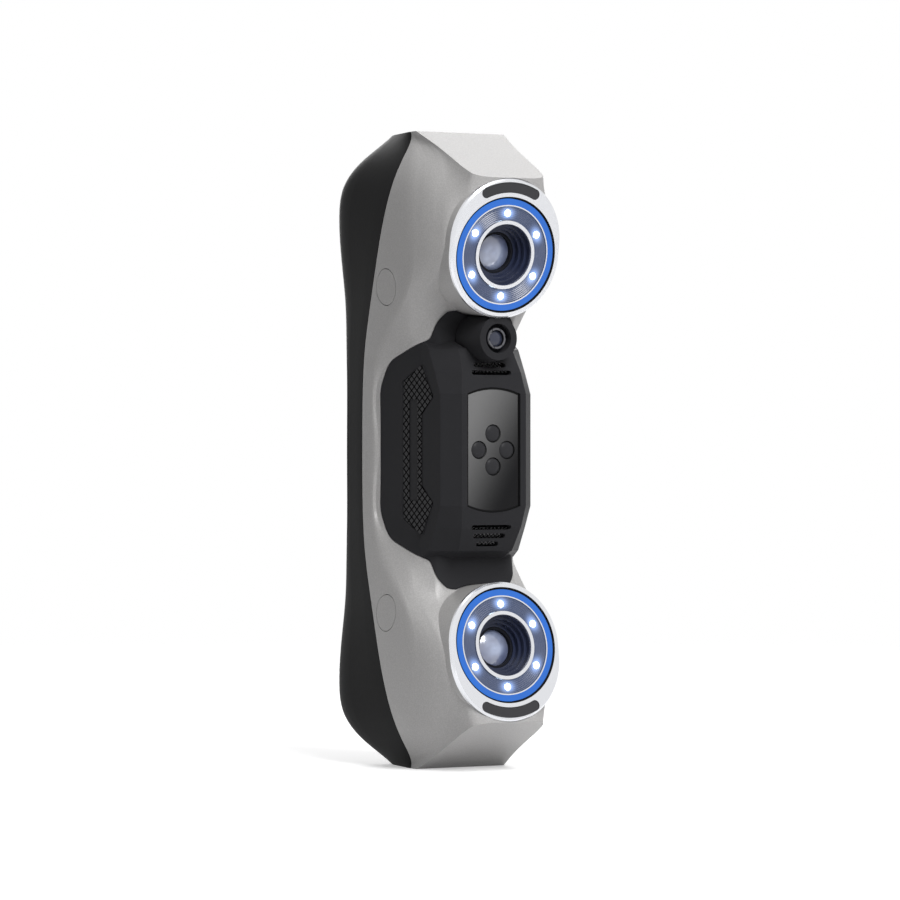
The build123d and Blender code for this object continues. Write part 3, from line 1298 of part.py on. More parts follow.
with BuildPart() as button_switches:
    for height, radius in button_places().values():
        with BuildSketch(rear_plane(BUTTON_BOARD_DEPTH + BOARD_THICKNESS, height)):
            Rectangle(SWITCH_SIZE, SWITCH_SIZE)
        extrude(amount=SWITCH_THICKNESS)
        with BuildSketch(rear_plane(switch_rear, height)):
            Circle(SWITCH_RADIUS)
        extrude(amount=SWITCH_STROKE)
button_switches.part.label = "button_switches"
export_step(button_switches.part, "parts/button_switches.step")

for button_name, (height, radius) in button_places().items():
    with BuildPart() as button:
        with BuildSketch(rear_plane(flange_rear, height)):
            Circle(radius)
        extrude(amount=REAR_DEPTH + BUTTON_PROUD - flange_rear)
        chamfer(button.faces().sort_by(Axis.Y)[-1].edges(), BUTTON_CHAMFER)
        with BuildSketch(rear_plane(flange_front, height)):
            Circle(radius + BUTTON_FLANGE)
        extrude(amount=BUTTON_FLANGE_THICKNESS)
        with BuildSketch(rear_plane(stem_front, height)):
            Circle(BUTTON_STEM_RADIUS)
        extrude(amount=flange_front - stem_front)
    button.part.label = button_name
    export_step(button.part, f"parts/{button_name}.step")

with BuildPart() as light_pipe:
    with BuildSketch(rear_plane(BUTTON_BOARD_DEPTH + BOARD_THICKNESS, PIPE_HEIGHT)):
        Circle(PIPE_RADIUS)
    extrude(amount=REAR_DEPTH - BUTTON_BOARD_DEPTH - BOARD_THICKNESS)
light_pipe.part.label = "light_pipe"
export_step(light_pipe.part, "parts/light_pipe.step")
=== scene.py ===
"""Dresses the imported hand-held scanner: finishes, fine pieces, studio and camera."""
import json
from math import atan2, cos, radians, sin, tau

import bpy
from bpy.props import FloatProperty, FloatVectorProperty, PointerProperty
from mathutils import Matrix, Vector


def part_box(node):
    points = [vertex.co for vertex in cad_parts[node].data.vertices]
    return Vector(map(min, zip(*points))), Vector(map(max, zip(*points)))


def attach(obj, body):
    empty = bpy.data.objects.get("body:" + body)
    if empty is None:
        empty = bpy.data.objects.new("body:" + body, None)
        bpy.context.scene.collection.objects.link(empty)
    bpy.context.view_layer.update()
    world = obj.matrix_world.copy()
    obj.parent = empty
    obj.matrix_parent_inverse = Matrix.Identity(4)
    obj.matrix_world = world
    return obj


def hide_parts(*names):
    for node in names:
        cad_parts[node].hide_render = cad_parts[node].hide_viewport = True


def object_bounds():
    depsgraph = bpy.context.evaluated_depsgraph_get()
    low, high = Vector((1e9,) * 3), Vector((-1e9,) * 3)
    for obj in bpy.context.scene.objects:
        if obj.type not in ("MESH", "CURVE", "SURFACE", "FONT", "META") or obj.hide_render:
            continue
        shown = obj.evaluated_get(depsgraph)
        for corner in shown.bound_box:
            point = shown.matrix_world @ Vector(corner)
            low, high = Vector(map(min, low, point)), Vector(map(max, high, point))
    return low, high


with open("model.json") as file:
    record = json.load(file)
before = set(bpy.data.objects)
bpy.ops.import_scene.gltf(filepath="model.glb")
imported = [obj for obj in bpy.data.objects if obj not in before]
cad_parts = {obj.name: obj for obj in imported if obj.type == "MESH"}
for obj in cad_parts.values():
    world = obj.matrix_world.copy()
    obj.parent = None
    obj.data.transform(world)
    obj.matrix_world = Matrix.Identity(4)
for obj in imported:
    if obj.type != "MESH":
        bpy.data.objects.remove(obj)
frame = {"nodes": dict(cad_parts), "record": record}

bl_info = {
    "name": "Hand-held Scanner",
    "version": (1, 0, 0),
    "blender": (4, 5, 0),
    "location": "View3D > Sidebar > Scanner",
    "description": "Dresses a hand-held scanner and sets up its studio",
    "category": "Object",
}

CAD_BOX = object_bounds()
LOW, HIGH = (Vector(corner) for corner in CAD_BOX)
NODES = frame["nodes"]
RECORD = frame["record"]
SLOT_OF = {part["node"]: part["material_slot"] for part in RECORD["subparts"]}
BODY_OF = {node: body for body, nodes in RECORD["behaviour"]["bodies"].items() for node in nodes}
MM = 0.001
ENDS = {"upper": 1, "lower": -1}
SEEN_RAYS = ("Is Camera Ray", "Is Glossy Ray", "Is Transmission Ray")
MID_Z = (LOW.z + HIGH.z) / 2
TOE_IN = radians(9.0)
POD_OFFSET = 62.35 * MM
POD_REACH = 24.6 * MM
FACE_Y = LOW.y + POD_REACH * sin(TOE_IN)
ORIGIN = (0.0, 0.0, 0.0)
TOP_FORWARDS = Matrix.Rotation(radians(90.0), 4, "X")
TOP_BACKWARDS = Matrix.Rotation(radians(-90.0), 4, "X")
DIAMOND_TURN = radians(45.0)
WELD_REACH = 0.002 * MM
CUT_REACH = 0.001 * MM
RGB = {"size": 3, "min": 0.0, "max": 1.0}

# A pod's lens, lamps and lamp cover: distances from the pod's axis (where the lens's painted rim shade starts
# and ends, and where the cover's painted halo of lamp light lies), and the cover's front from its face
LENS_CLEAR, LENS_DARK = 2.6 * MM, 5.4 * MM
LAMP_COUNT, LAMP_CIRCLE, LAMP_FLARE = 6, 13.35 * MM, 1.15
PAINTED_HALO_CIRCLE, PAINTED_HALO_REACH, PAINTED_HALO_POWER = 13.3 * MM, 2.6 * MM, 4.0
COVER_INNER, COVER_FRONT = 11.2 * MM, -0.75 * MM

# The projector window: its cells, the slanted painted sheen across it (a reflection painted into its colour)
# and its printed border
CELL_COUNT = 4
PAINTED_SHEEN_SLANT, PAINTED_SHEEN_START, PAINTED_SHEEN_END = 0.55, -14.0 * MM, 20.0 * MM
BORDER_SIDE, BORDER_END, BORDER_EDGE, BORDER_CURVE = 9.3 * MM, 19.3 * MM, 0.2 * MM, 20.0
BORDER_COLOUR = (0.0015, 0.0015, 0.0018)

# The side panel: its tiles, its leaning wall, and its zones as (depth, height) corners in millimetres
TILE_COUNT = 28
PANEL_MIDDLE, PANEL_EDGE, PANEL_SIDE = 24.0 * MM, 21.14 * MM, 18.36 * MM
PANEL_LEAN, PANEL_SINK, TOP_FACING = 0.10576, 0.35 * MM, 0.9
PANEL_ZONES = (
    ((31.2, 16.3), (31.2, 21.9), (21.7, 27.4), (15.7, 17.0), (16.4, 16.3)),
    ((16.4, 16.3), (21.5, 11.5), (23.8, 11.5), (23.8, 16.3)),
    ((21.5, 11.5), (21.5, 0.0), (23.8, 0.0), (23.8, 11.5)),
    ((28.0, 0.0), (31.2, 0.0), (31.2, 16.3), (28.0, 16.3)),
)

# The vents: squares and half sizes of a lattice, and two (depth, height) points of the wall in front of it
LATTICE_COUNT, LATTICE_HALF = 20, (8.3 * MM, 3.1 * MM)
VENT_KNEE, VENT_FOOT = Vector((8.5, 25.0)) * MM, Vector((12.2, 32.5)) * MM
VENT_ALONG, VENT_BEHIND = 4.0 * MM, 2.0 * MM

# The seams: how directly a face has to look at the shell, and how far the gaskets are drawn in
SEAM_FACING = -0.8
GASKET_SCALE = (0.994, 1.0, 0.9985)

# The colour camera's ring: radii, heights from inside to outside, notches and place
RING_INNER, RING_OUTER, RING_BEVEL = 2.72 * MM, 3.5 * MM, 0.2 * MM
RING_HEIGHTS = (0.32 * MM, 0.4 * MM, 0.2 * MM)
NOTCH_COUNT, NOTCH_SHARE, NOTCH_DEPTH = 6, 0.25, 0.22 * MM
RING_DEPTH, RING_OFFSET = 5.6 * MM, 35.8 * MM

# The button marks: heights, line width, and the bars' width and ring's radius as shares of a mark's size
MARK_FOOT, MARK_TOP, MARK_LINE = -0.1 * MM, 0.15 * MM, 0.5 * MM
BAR_HEIGHT, BAR_SHARE, CIRCLE_SHARE = 0.25 * MM, 0.3, 1.1

# The studio: each light's place from the aim and its size, and the floor's fade as shares of its radius
SOFTBOXES = {
    "key": ((-0.05, -0.86, 0.8), (0.5, 0.7)),
    "side": ((-1.05, -0.35, 0.2), (0.3, 1.1)),
    "top": ((0.0, -0.1, 1.1), (0.8, 0.8)),
    "rear": ((0.5, 1.0, 0.5), (0.9, 0.9)),
}
FADE_START, FADE_END = 0.12, 0.9


class Shade:
    """A socket of a material, with arithmetic that adds Math nodes."""

    def __init__(self, surface, socket):
        self.surface = surface
        self.socket = socket

    def math(self, operation, *values):
        return self.surface.node("ShaderNodeMath", {"operation": operation}, dict(enumerate(values)))

    def __add__(self, other):
        return self.math("ADD", self, other)

    __radd__ = __add__

    def __mul__(self, other):
        return self.math("MULTIPLY", self, other)

    __rmul__ = __mul__

    def __sub__(self, other):
        return self.math("SUBTRACT", self, other)

    def __rsub__(self, other):
        return self.math("SUBTRACT", other, self)

    def sine(self):
        return self.math("SINE", self)

    def root(self):
        return self.math("SQRT", self)

    def size(self):
        return self.math("ABSOLUTE", self)

    def ease(self, low, high):
        """0 below low, 1 above high and smooth in between."""
        settings = {"interpolation_type": "SMOOTHSTEP"}
        sockets = {"Value": self, "From Min": low, "From Max": high}
        return self.surface.node("ShaderNodeMapRange", settings, sockets)


class Surface:
    """A node material with one Principled shader."""

    def __init__(self, name, **values):
        self.material = bpy.data.materials.new(name)
        self.material.use_nodes = True
        self.tree = self.material.node_tree
        self.tree.nodes.clear()
        self.shader = self.tree.nodes.new("ShaderNodeBsdfPrincipled")
        output = self.tree.nodes.new("ShaderNodeOutputMaterial")
        self.tree.links.new(self.shader.outputs[0], output.inputs[0])
        for key, value in values.items():
            self.set(key.replace("_", " "), value)

    def feed(self, socket, value):
        if isinstance(value, Shade):
            self.tree.links.new(value.socket, socket)
        elif isinstance(value, (tuple, list)) and len(value) == 3 and len(socket.default_value) == 4:
            socket.default_value = (*value, 1.0)
        else:
            socket.default_value = value

    def set(self, name, value):
        self.feed(self.shader.inputs[name], value)

    def node(self, kind, settings=(), sockets=(), output=0):
        """Adds a node: its settings are set first, then its sockets get values or links."""
        made = self.tree.nodes.new(kind)
        for key, value in dict(settings).items():
            setattr(made, key, value)
        for key, value in dict(sockets).items():
            self.feed(made.inputs[key], value)
        return Shade(self, made.outputs[output])

    def place(self):
        """The point on the object, in metres."""
        return self.node("ShaderNodeTexCoord", output="Object")

    def split(self, vector):
        """The three parts of a vector."""
        made = self.tree.nodes.new("ShaderNodeSeparateXYZ")
        self.feed(made.inputs[0], vector)
        return [Shade(self, socket) for socket in made.outputs]

    def stretch(self, scale):
        """The point on the object, scaled along each axis for a pattern."""
        return self.node("ShaderNodeMapping", {}, {"Vector": self.place(), "Scale": scale})

    def noise(self, scale, detail=3.0, vector=None):
        sockets = {"Vector": vector or self.place(), "Scale": scale, "Detail": detail}
        return self.node("ShaderNodeTexNoise", {}, sockets)

    def mix(self, factor, first, second):
        return self.node("ShaderNodeMix", {"data_type": "RGBA"}, {0: factor, 6: first, 7: second}, output=2)

    def bump(self, height, strength, distance):
        sockets = {"Height": height, "Strength": strength, "Distance": distance}
        self.set("Normal", self.node("ShaderNodeBump", {}, sockets))


def lighter(colour, share):
    """A colour moved a share of the way to white, or to black where the share is negative."""
    goal = 1.0 if share > 0 else 0.0
    return tuple(part + (goal - part) * abs(share) for part in colour)


def moulded_plastic(name, colour, grain=900.0, depth=0.00006, rough=0.46, gloss=0.04):
    """Moulded plastic: fine spark-eroded grain and faint handling marks."""
    surface = Surface(name, IOR=1.5, Specular_IOR_Level=gloss)
    wear = surface.noise(scale=35.0, detail=4.0)
    speck = surface.noise(scale=grain, detail=2.0)
    surface.set("Base Color", surface.mix(wear, colour, lighter(colour, 0.006)))
    surface.set("Roughness", rough - 0.06 + 0.12 * wear)
    surface.bump(speck, strength=0.35, distance=depth)
    return surface.material


def satin_paint(name, colour, rough):
    """Satin metallic paint: flakes that sparkle a little over a soft sheen, with a thin clear coat."""
    surface = Surface(name, Metallic=0.03, Specular_IOR_Level=0.3, Coat_Roughness=0.32, Coat_IOR=1.45)
    flakes = surface.noise(scale=2600.0, detail=1.0)
    cloud = surface.noise(scale=22.0, detail=3.0)
    dark, light = lighter(colour, -0.06), lighter(colour, 0.07)
    surface.set("Base Color", surface.mix(flakes.ease(0.35, 0.7), dark, light))
    surface.set("Roughness", rough + 0.05 * cloud + 0.05 * flakes)
    surface.set("Coat Weight", 0.05)
    surface.bump(flakes, strength=0.12, distance=0.00004)
    return surface.material


def turned_metal(name, colour, rough, lines=5200.0):
    """Bright machined metal with fine turning lines across its length."""
    surface = Surface(name, Metallic=1.0)
    streak = surface.noise(scale=1.0, detail=2.0, vector=surface.stretch((260.0, 260.0, lines)))
    cloud = surface.noise(scale=60.0, detail=2.0)
    surface.set("Base Color", surface.mix(cloud, lighter(colour, -0.04), lighter(colour, 0.04)))
    surface.set("Roughness", rough + 0.07 * streak)
    surface.bump(streak, strength=0.08, distance=0.00003)
    return surface.material


def rubber(name, colour):
    """Matt rubber with a fine diamond texture."""
    surface = Surface(name, IOR=1.5, Specular_IOR_Level=0.04)
    x, y, z = surface.split(surface.place())
    pitch = tau / (0.9 * MM)
    ridges = ((x + y + z) * pitch).sine() * ((x + y - z) * pitch).sine()
    dust = surface.noise(scale=140.0, detail=4.0)
    surface.set("Base Color", surface.mix(dust.ease(0.4, 0.8), colour, lighter(colour, 0.004)))
    surface.set("Roughness", 0.62 + 0.16 * dust)
    surface.bump(ridges, strength=0.7, distance=0.0002)
    return surface.material


def dark_gloss(name, colour, rough=0.06):
    """Glossy dark window with faint waviness under a hard coat."""
    surface = Surface(name, IOR=1.52, Specular_IOR_Level=0.2, Coat_Roughness=0.03, Coat_IOR=1.3)
    haze = surface.noise(scale=45.0, detail=3.0)
    surface.set("Base Color", surface.mix(haze, colour, lighter(colour, 0.012)))
    surface.set("Roughness", rough + 0.03 * haze)
    surface.set("Coat Weight", 1.0)
    surface.bump(haze, strength=0.02, distance=0.00005)
    return surface.material


def clear_plastic(name, colour):
    """Clear moulded plastic."""
    surface = Surface(name, IOR=1.49, Transmission_Weight=0.92)
    haze = surface.noise(scale=80.0, detail=2.0)
    surface.set("Base Color", surface.mix(haze, colour, lighter(colour, -0.05)))
    surface.set("Roughness", 0.04 + 0.04 * haze)
    return surface.material


def pod_place(surface):
    """Place of a point across and up from the axis of the pod that it is on, in metres."""
    x, y, z = surface.split(surface.place())
    return x, (z - MID_Z).size() - POD_OFFSET


def pod_radius(surface):
    """Distance of a point from the axis of the pod that it is on, in metres."""
    across, height = pod_place(surface)
    return (across * across + height * height).root()


def camera_glass(name, colour, rim):
    """Coated lens with painted shading: pale in the middle and darkening in painted shade towards its rim,
    with a faint cloud in the coating.
    """
    surface = Surface(name, IOR=1.6, Coat_IOR=1.8, Coat_Roughness=0.14)
    bloom = surface.noise(scale=160.0, detail=2.0)
    reach = pod_radius(surface)
    # Painted shade: the lens's colour darkens from its pale middle to the rim colour
    painted_rim_shade = surface.mix(reach.ease(LENS_CLEAR, LENS_DARK), colour, rim)
    surface.set("Base Color", surface.mix(bloom.ease(0.3, 0.8), painted_rim_shade, lighter(rim, 0.12)))
    surface.set("Roughness", 0.2 + 0.06 * bloom)
    surface.set("Coat Weight", 1.0)
    return surface.material


def lamp_cover(name, colour, glow):
    """Smoky ribbed plastic with painted light: a soft halo of glow painted round each of a pod's six lamps,
    over a dim painted glow all over.
    """
    surface = Surface(name, IOR=1.49, Emission_Strength=1.3)
    across, height = pod_place(surface)
    angle = across.math("ARCTAN2", height, across)
    # Painted light: the cover glows in a halo round each lamp and dimly everywhere else, though the cover
    # itself is no lamp
    beat = 0.5 - 0.5 * angle.math("COSINE", angle * float(LAMP_COUNT))
    away = (pod_radius(surface) - PAINTED_HALO_CIRCLE).size()
    reach = 1.0 - (away * (1.0 / PAINTED_HALO_REACH)).ease(0.0, 1.0)
    painted_halo = beat.math("POWER", beat, PAINTED_HALO_POWER) * reach
    haze = surface.noise(scale=220.0, detail=2.0)
    surface.set("Base Color", surface.mix(haze, colour, lighter(colour, 0.06)))
    surface.set("Roughness", 0.22 + 0.08 * haze)
    painted_dim_glow = lighter(glow, -0.93)
    surface.set("Emission Color", surface.mix(painted_halo, painted_dim_glow, glow))
    return surface.material


def lit(name, colour, glow, strength, rough=0.3):
    """A lit light guide or lamp, a little uneven in its glow."""
    surface = Surface(name, IOR=1.49, Emission_Strength=strength)
    uneven = surface.noise(scale=160.0, detail=2.0)
    surface.set("Base Color", colour)
    surface.set("Roughness", rough)
    surface.set("Emission Color", surface.mix(uneven.ease(0.2, 0.8), lighter(glow, -0.12), glow))
    return surface.material


def circuit_board(name, colour):
    """Green board with darker tracks under its lacquer."""
    surface = Surface(name, IOR=1.5)
    tracks = surface.node("ShaderNodeTexBrick", {}, {"Vector": surface.place(), "Scale": 320.0}, output="Fac")
    surface.set("Base Color", surface.mix(tracks, colour, lighter(colour, -0.4)))
    surface.set("Roughness", 0.35 + 0.1 * surface.noise(scale=90.0))
    surface.set("Coat Weight", 0.4)
    return surface.material


def window_glass(name, colour):
    """Smoked window: a pale painted sheen, a reflection painted into its colour, fades across it inside a
    printed black border.
    """
    surface = Surface(name, IOR=1.5, Specular_IOR_Level=0.1, Coat_Roughness=0.04, Coat_IOR=1.5)
    x, y, z = surface.split(surface.place())
    haze = surface.noise(scale=40.0, detail=3.0)
    height = z - MID_Z
    # Painted sheen: the colour lightens along a slant across the window, standing in for a reflection
    sheen = (height * PAINTED_SHEEN_SLANT - x).ease(PAINTED_SHEEN_START, PAINTED_SHEEN_END)
    painted_sheen_tint = surface.mix(sheen + 0.03 * haze, colour, lighter(colour, 0.19))
    beside = x.size().ease(BORDER_SIDE, BORDER_SIDE + BORDER_EDGE)
    beyond = (height.size() + x * x * BORDER_CURVE).ease(BORDER_END, BORDER_END + BORDER_EDGE)
    border = beside.math("MAXIMUM", beside, beyond)
    surface.set("Base Color", surface.mix(border, painted_sheen_tint, BORDER_COLOUR))
    surface.set("Roughness", 0.16 + 0.05 * haze)
    surface.set("Coat Weight", 0.04)
    return surface.material


def plain_metal(name, colour, rough):
    """Plain metal with a cloudy, slightly uneven polish."""
    surface = Surface(name, Metallic=1.0)
    cloud = surface.noise(scale=180.0, detail=3.0)
    surface.set("Base Color", surface.mix(cloud, lighter(colour, -0.1), colour))
    surface.set("Roughness", rough + 0.1 * cloud)
    surface.bump(cloud, strength=0.05, distance=0.00005)
    return surface.material


FINISHES = {}

# Mouldings of a fixed colour: colour, grain, depth of the grain, roughness and gloss
MOULDINGS = {
    "cell_glass": ((0.03, 0.03, 0.033), 300.0, 0.00001, 0.3, 0.06),
    "milky_plastic": ((0.3, 0.33, 0.37), 700.0, 0.00002, 0.3, 0.3),
    "gasket_black": ((0.006, 0.006, 0.007), 700.0, 0.00004, 0.6, 0.04),
    "hood_black": ((0.012, 0.013, 0.018), 2000.0, 0.00002, 0.34, 0.04),
    "hood_blue": ((0.02, 0.027, 0.06), 2000.0, 0.00002, 0.3, 0.3),
    "groove_black": ((0.002, 0.002, 0.0022), 1500.0, 0.00003, 0.6, 0.01),
    "chip_black": ((0.02, 0.02, 0.021), 1600.0, 0.00003, 0.5, 0.04),
    "fan_black": ((0.018, 0.018, 0.019), 900.0, 0.00004, 0.4, 0.04),
    "button_grey": ((0.05, 0.05, 0.054), 1400.0, 0.00004, 0.5, 0.04),
    "wire_grey": ((0.4, 0.4, 0.41), 1500.0, 0.00003, 0.4, 0.04),
    "mark_white": ((0.6, 0.6, 0.62), 1400.0, 0.00003, 0.45, 0.04),
}

# Plain metals: colour and roughness
METALS = {
    "plain_steel": ((0.56, 0.56, 0.57), 0.26),
    "socket_brass": ((0.7, 0.52, 0.24), 0.24),
    "ring_grey": ((0.13, 0.13, 0.14), 0.3),
}

# Nodes whose finish isn't that of their slot
SPECIAL = {
    "rgb_lens": "colour_glass",
    "light_pipe": "milky_plastic",
    "projector_window": "smoked_window",
    "lens_hood_upper": "hood_blue",
    "lens_hood_lower": "hood_blue",
}


def make_finishes(look):
    """Makes the material of each finish from the tables and the chosen colours."""
    for name, values in MOULDINGS.items():
        FINISHES[name] = moulded_plastic(name, *values)
    for name, values in METALS.items():
        FINISHES[name] = plain_metal(name, *values)
    black = tuple(look.bezel_colour)
    fine = {"grain": 1500.0, "depth": 0.00003}
    FINISHES.update({
        "rear_black": moulded_plastic("rear_black", tuple(look.rear_colour), rough=0.44, gloss=0.03),
        "grip_rubber": rubber("grip_rubber", tuple(look.rubber_colour)),
        "satin_silver": satin_paint("satin_silver", tuple(look.silver_colour), rough=0.3),
        "bright_silver": turned_metal("bright_silver", tuple(look.bright_colour), rough=0.2),
        "bezel_black": moulded_plastic("bezel_black", black, grain=1200.0, depth=0.00005, rough=0.42),
        "mesh_black": moulded_plastic("mesh_black", lighter(black, 0.004), **fine, rough=0.38),
        "window_black": dark_gloss("window_black", (0.02, 0.02, 0.024), rough=0.2),
        "smoked_window": window_glass("smoked_window", tuple(look.window_colour)),
        "colour_glass": dark_gloss("colour_glass", (0.03, 0.035, 0.06), rough=0.08),
        # The lens's second colour is the painted shade at its rim
        "lens_glass": camera_glass("lens_glass", (0.4, 0.47, 0.66), (0.12, 0.15, 0.28)),
        "clear_plastic": clear_plastic("clear_plastic", (0.86, 0.91, 1.0)),
        # The lamp cover's second colour is the colour of its painted glow
        "lamp_cover": lamp_cover("lamp_cover", (0.03, 0.037, 0.075), (0.34, 0.52, 1.0)),
        "glow_blue": lit("glow_blue", (0.004, 0.02, 0.08), tuple(look.glow_colour), look.glow_strength),
        "led_white": lit("led_white", (0.9, 0.93, 1.0), tuple(look.lamp_colour), look.lamp_strength),
        "tile_grey": moulded_plastic("tile_grey", lighter(black, 0.012), **fine, rough=0.4, gloss=0.1),
        "board_green": circuit_board("board_green", (0.02, 0.11, 0.05)),
        "bench_aluminium": turned_metal("bench_aluminium", (0.62, 0.62, 0.63), rough=0.3, lines=2400.0),
    })


class ScannerLook(bpy.types.PropertyGroup):
    """Colours and lights of the scanner."""

    silver_colour: FloatVectorProperty(name="Silver shell", description="Satin paint of the front shell",
                                       subtype="COLOR", default=(0.43, 0.422, 0.418), **RGB)
    bright_colour: FloatVectorProperty(name="Bright rings", description="Machined rings of the pods",
                                       subtype="COLOR", default=(0.74, 0.75, 0.78), **RGB)
    rear_colour: FloatVectorProperty(name="Rear casing", description="Moulded rear casing",
                                     subtype="COLOR", default=(0.0065, 0.0065, 0.007), **RGB)
    bezel_colour: FloatVectorProperty(name="Bezel", description="Moulded centre bezel",
                                      subtype="COLOR", default=(0.025, 0.025, 0.0275), **RGB)
    rubber_colour: FloatVectorProperty(name="Grip", description="Rubber of the rear grip",
                                       subtype="COLOR", default=(0.014, 0.014, 0.0142), **RGB)
    window_colour: FloatVectorProperty(name="Window", description="Tint of the projector window",
                                       subtype="COLOR", default=(0.004, 0.004, 0.005), **RGB)
    glow_colour: FloatVectorProperty(name="Glow", description="Colour of the lit rings",
                                     subtype="COLOR", default=(0.012, 0.19, 0.82), **RGB)
    glow_strength: FloatProperty(name="Glow strength", description="How strongly the rings glow",
                                 min=0.0, default=0.7)
    lamp_colour: FloatVectorProperty(name="Lamps", description="Colour of the small lamps",
                                     subtype="COLOR", default=(0.62, 0.8, 1.0), **RGB)
    lamp_strength: FloatProperty(name="Lamp strength", description="How strongly the lamps shine",
                                 min=0.0, default=4.0)


class ScannerDetail(bpy.types.PropertyGroup):
    """Sizes of the fine pieces."""

    rib_pitch: FloatProperty(name="Rib pitch", description="Step of the ribs on the lamp covers",
                             unit="LENGTH", min=0.0001, default=0.6 * MM)
    rib_depth: FloatProperty(name="Rib depth", description="Depth of the grooves between the ribs",
                             unit="LENGTH", min=0.0, default=0.24 * MM)
    cover_thickness: FloatProperty(name="Cover", description="Thickness of the lamp covers",
                                   unit="LENGTH", min=0.0001, default=0.55 * MM)
    lamp_radius: FloatProperty(name="Lamp", description="Radius of a lamp's dome", unit="LENGTH",
                               min=0.0001, default=1.3 * MM)
    lamp_depth: FloatProperty(name="Lamp depth", description="From the pod's face to the top of a lamp",
                              unit="LENGTH", min=0.0, default=0.15 * MM)
    lamp_stem: FloatProperty(name="Lamp stem", description="Length of a lamp under its dome",
                             unit="LENGTH", min=0.0, default=6.3 * MM)
    cell_radius: FloatProperty(name="Cell", description="Radius of a projector cell", unit="LENGTH",
                               min=0.0001, default=2.85 * MM)
    cell_rise: FloatProperty(name="Cell rise", description="Height of a projector cell's dome",
                             unit="LENGTH", min=0.0001, default=1.1 * MM)
    cell_depth: FloatProperty(name="Cell depth", description="From the window's face to a cell's rim",
                              unit="LENGTH", min=0.0, default=0.8 * MM)
    tile_pitch: FloatVectorProperty(name="Tile pitch", description="Steps of the tiles across and up",
                                    unit="LENGTH", size=2, min=0.0001, default=(2.8 * MM, 2.4 * MM))
    tile_groove: FloatProperty(name="Tile groove", description="Half the gap between two tiles",
                               unit="LENGTH", min=0.0, default=0.22 * MM)
    tile_height: FloatProperty(name="Tile height", description="How far the tiles stand up",
                               unit="LENGTH", min=0.0, default=0.28 * MM)
    lattice_pitch: FloatProperty(name="Lattice pitch", description="Step of the vent lattices",
                                 unit="LENGTH", min=0.0001, default=1.0 * MM)
    lattice_wire: FloatProperty(name="Lattice wire", description="Thickness of the lattice wires",
                                unit="LENGTH", min=0.00001, default=0.24 * MM)
    seam_reach: FloatProperty(name="Seam", description="Widest gap that counts as a seam of the shell",
                              unit="LENGTH", min=0.00001, default=0.5 * MM)
    gasket_thickness: FloatProperty(name="Gasket", description="Thickness of the gaskets in the seams",
                                    unit="LENGTH", min=0.00001, default=0.12 * MM)
    mark_size: FloatProperty(name="Mark", description="Half length of the button marks",
                             unit="LENGTH", min=0.0001, default=1.5 * MM)


class ScannerStudio(bpy.types.PropertyGroup):
    """Camera and lights of the studio."""

    azimuth: FloatProperty(name="Azimuth", description="Side that the camera looks from",
                           subtype="ANGLE", default=radians(-32.0))
    distance: FloatProperty(name="Distance", description="From the scanner to the camera",
                            unit="LENGTH", min=0.1, default=1.5)
    frame_height: FloatProperty(name="Frame height",
                                description="Height that the picture takes in at the scanner",
                                unit="LENGTH", min=0.01, default=0.29335)
    aim_y: FloatProperty(name="Aim", description="Point along the depth that the camera looks at",
                         unit="LENGTH", default=0.0006)
    floor_radius: FloatProperty(name="Floor radius", description="Where the floor has faded away",
                                unit="LENGTH", min=0.1, default=1.1)
    floor_colour: FloatVectorProperty(name="Floor", description="Colour of the floor",
                                      subtype="COLOR", default=(0.86, 0.86, 0.865), **RGB)
    floor_glow: FloatProperty(name="Floor glow", description="How much the floor is lifted towards white",
                              min=0.0, default=0.42)
    key_power: FloatProperty(name="Key light", description="Power of the large front light", unit="POWER",
                             min=0.0, default=13.0)
    side_power: FloatProperty(name="Side light", description="Power of the narrow light on the left",
                              unit="POWER", min=0.0, default=0.2)
    top_power: FloatProperty(name="Top light", description="Power of the overhead light", unit="POWER",
                             min=0.0, default=1.2)
    rear_power: FloatProperty(name="Rear light", description="Power of the light behind", unit="POWER",
                              min=0.0, default=9.0)
    world_strength: FloatProperty(name="Ambient", description="Light from all round", min=0.0, default=0.07)


def pod_frame(side):
    """Frame of a pod: across, towards the end of the body, and out of the pod's face."""
    slope, rise = sin(TOE_IN), cos(TOE_IN)
    rows = [
        (side, 0.0, 0.0, 0.0),
        (0.0, -slope, -rise, FACE_Y),
        (0.0, side * rise, -side * slope, MID_Z + side * POD_OFFSET),
        (0.0, 0.0, 0.0, 1.0),
    ]
    return Matrix(rows)


def choose(*pieces):
    """Selects these pieces alone and makes the first of them active."""
    bpy.ops.object.select_all(action="DESELECT")
    for piece in pieces:
        piece.select_set(True)
    bpy.context.view_layer.objects.active = pieces[0]


def start(name, kind, **sizes):
    """Adds a primitive as the only selected object and names it."""
    bpy.ops.object.select_all(action="DESELECT")
    getattr(bpy.ops.mesh, f"primitive_{kind}_add")(**sizes)
    piece = bpy.context.object
    piece.name = piece.data.name = name
    return piece


def fit(piece, slot, body="root", replaced=(), finish=None):
    """Gives a piece the finish of its slot, or the finish named instead, puts it in its body and hides the
    nodes it stands for.
    """
    piece.data.materials.clear()
    piece.data.materials.append(FINISHES[finish or slot])
    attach(piece, body)
    if replaced:
        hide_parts(*replaced)


def edit(mode="EDIT"):
    """Goes into edit mode with everything selected, or back out of it."""
    bpy.ops.object.mode_set(mode=mode)
    if mode == "EDIT":
        bpy.ops.mesh.select_mode(type="VERT")
        bpy.ops.mesh.select_all(action="SELECT")


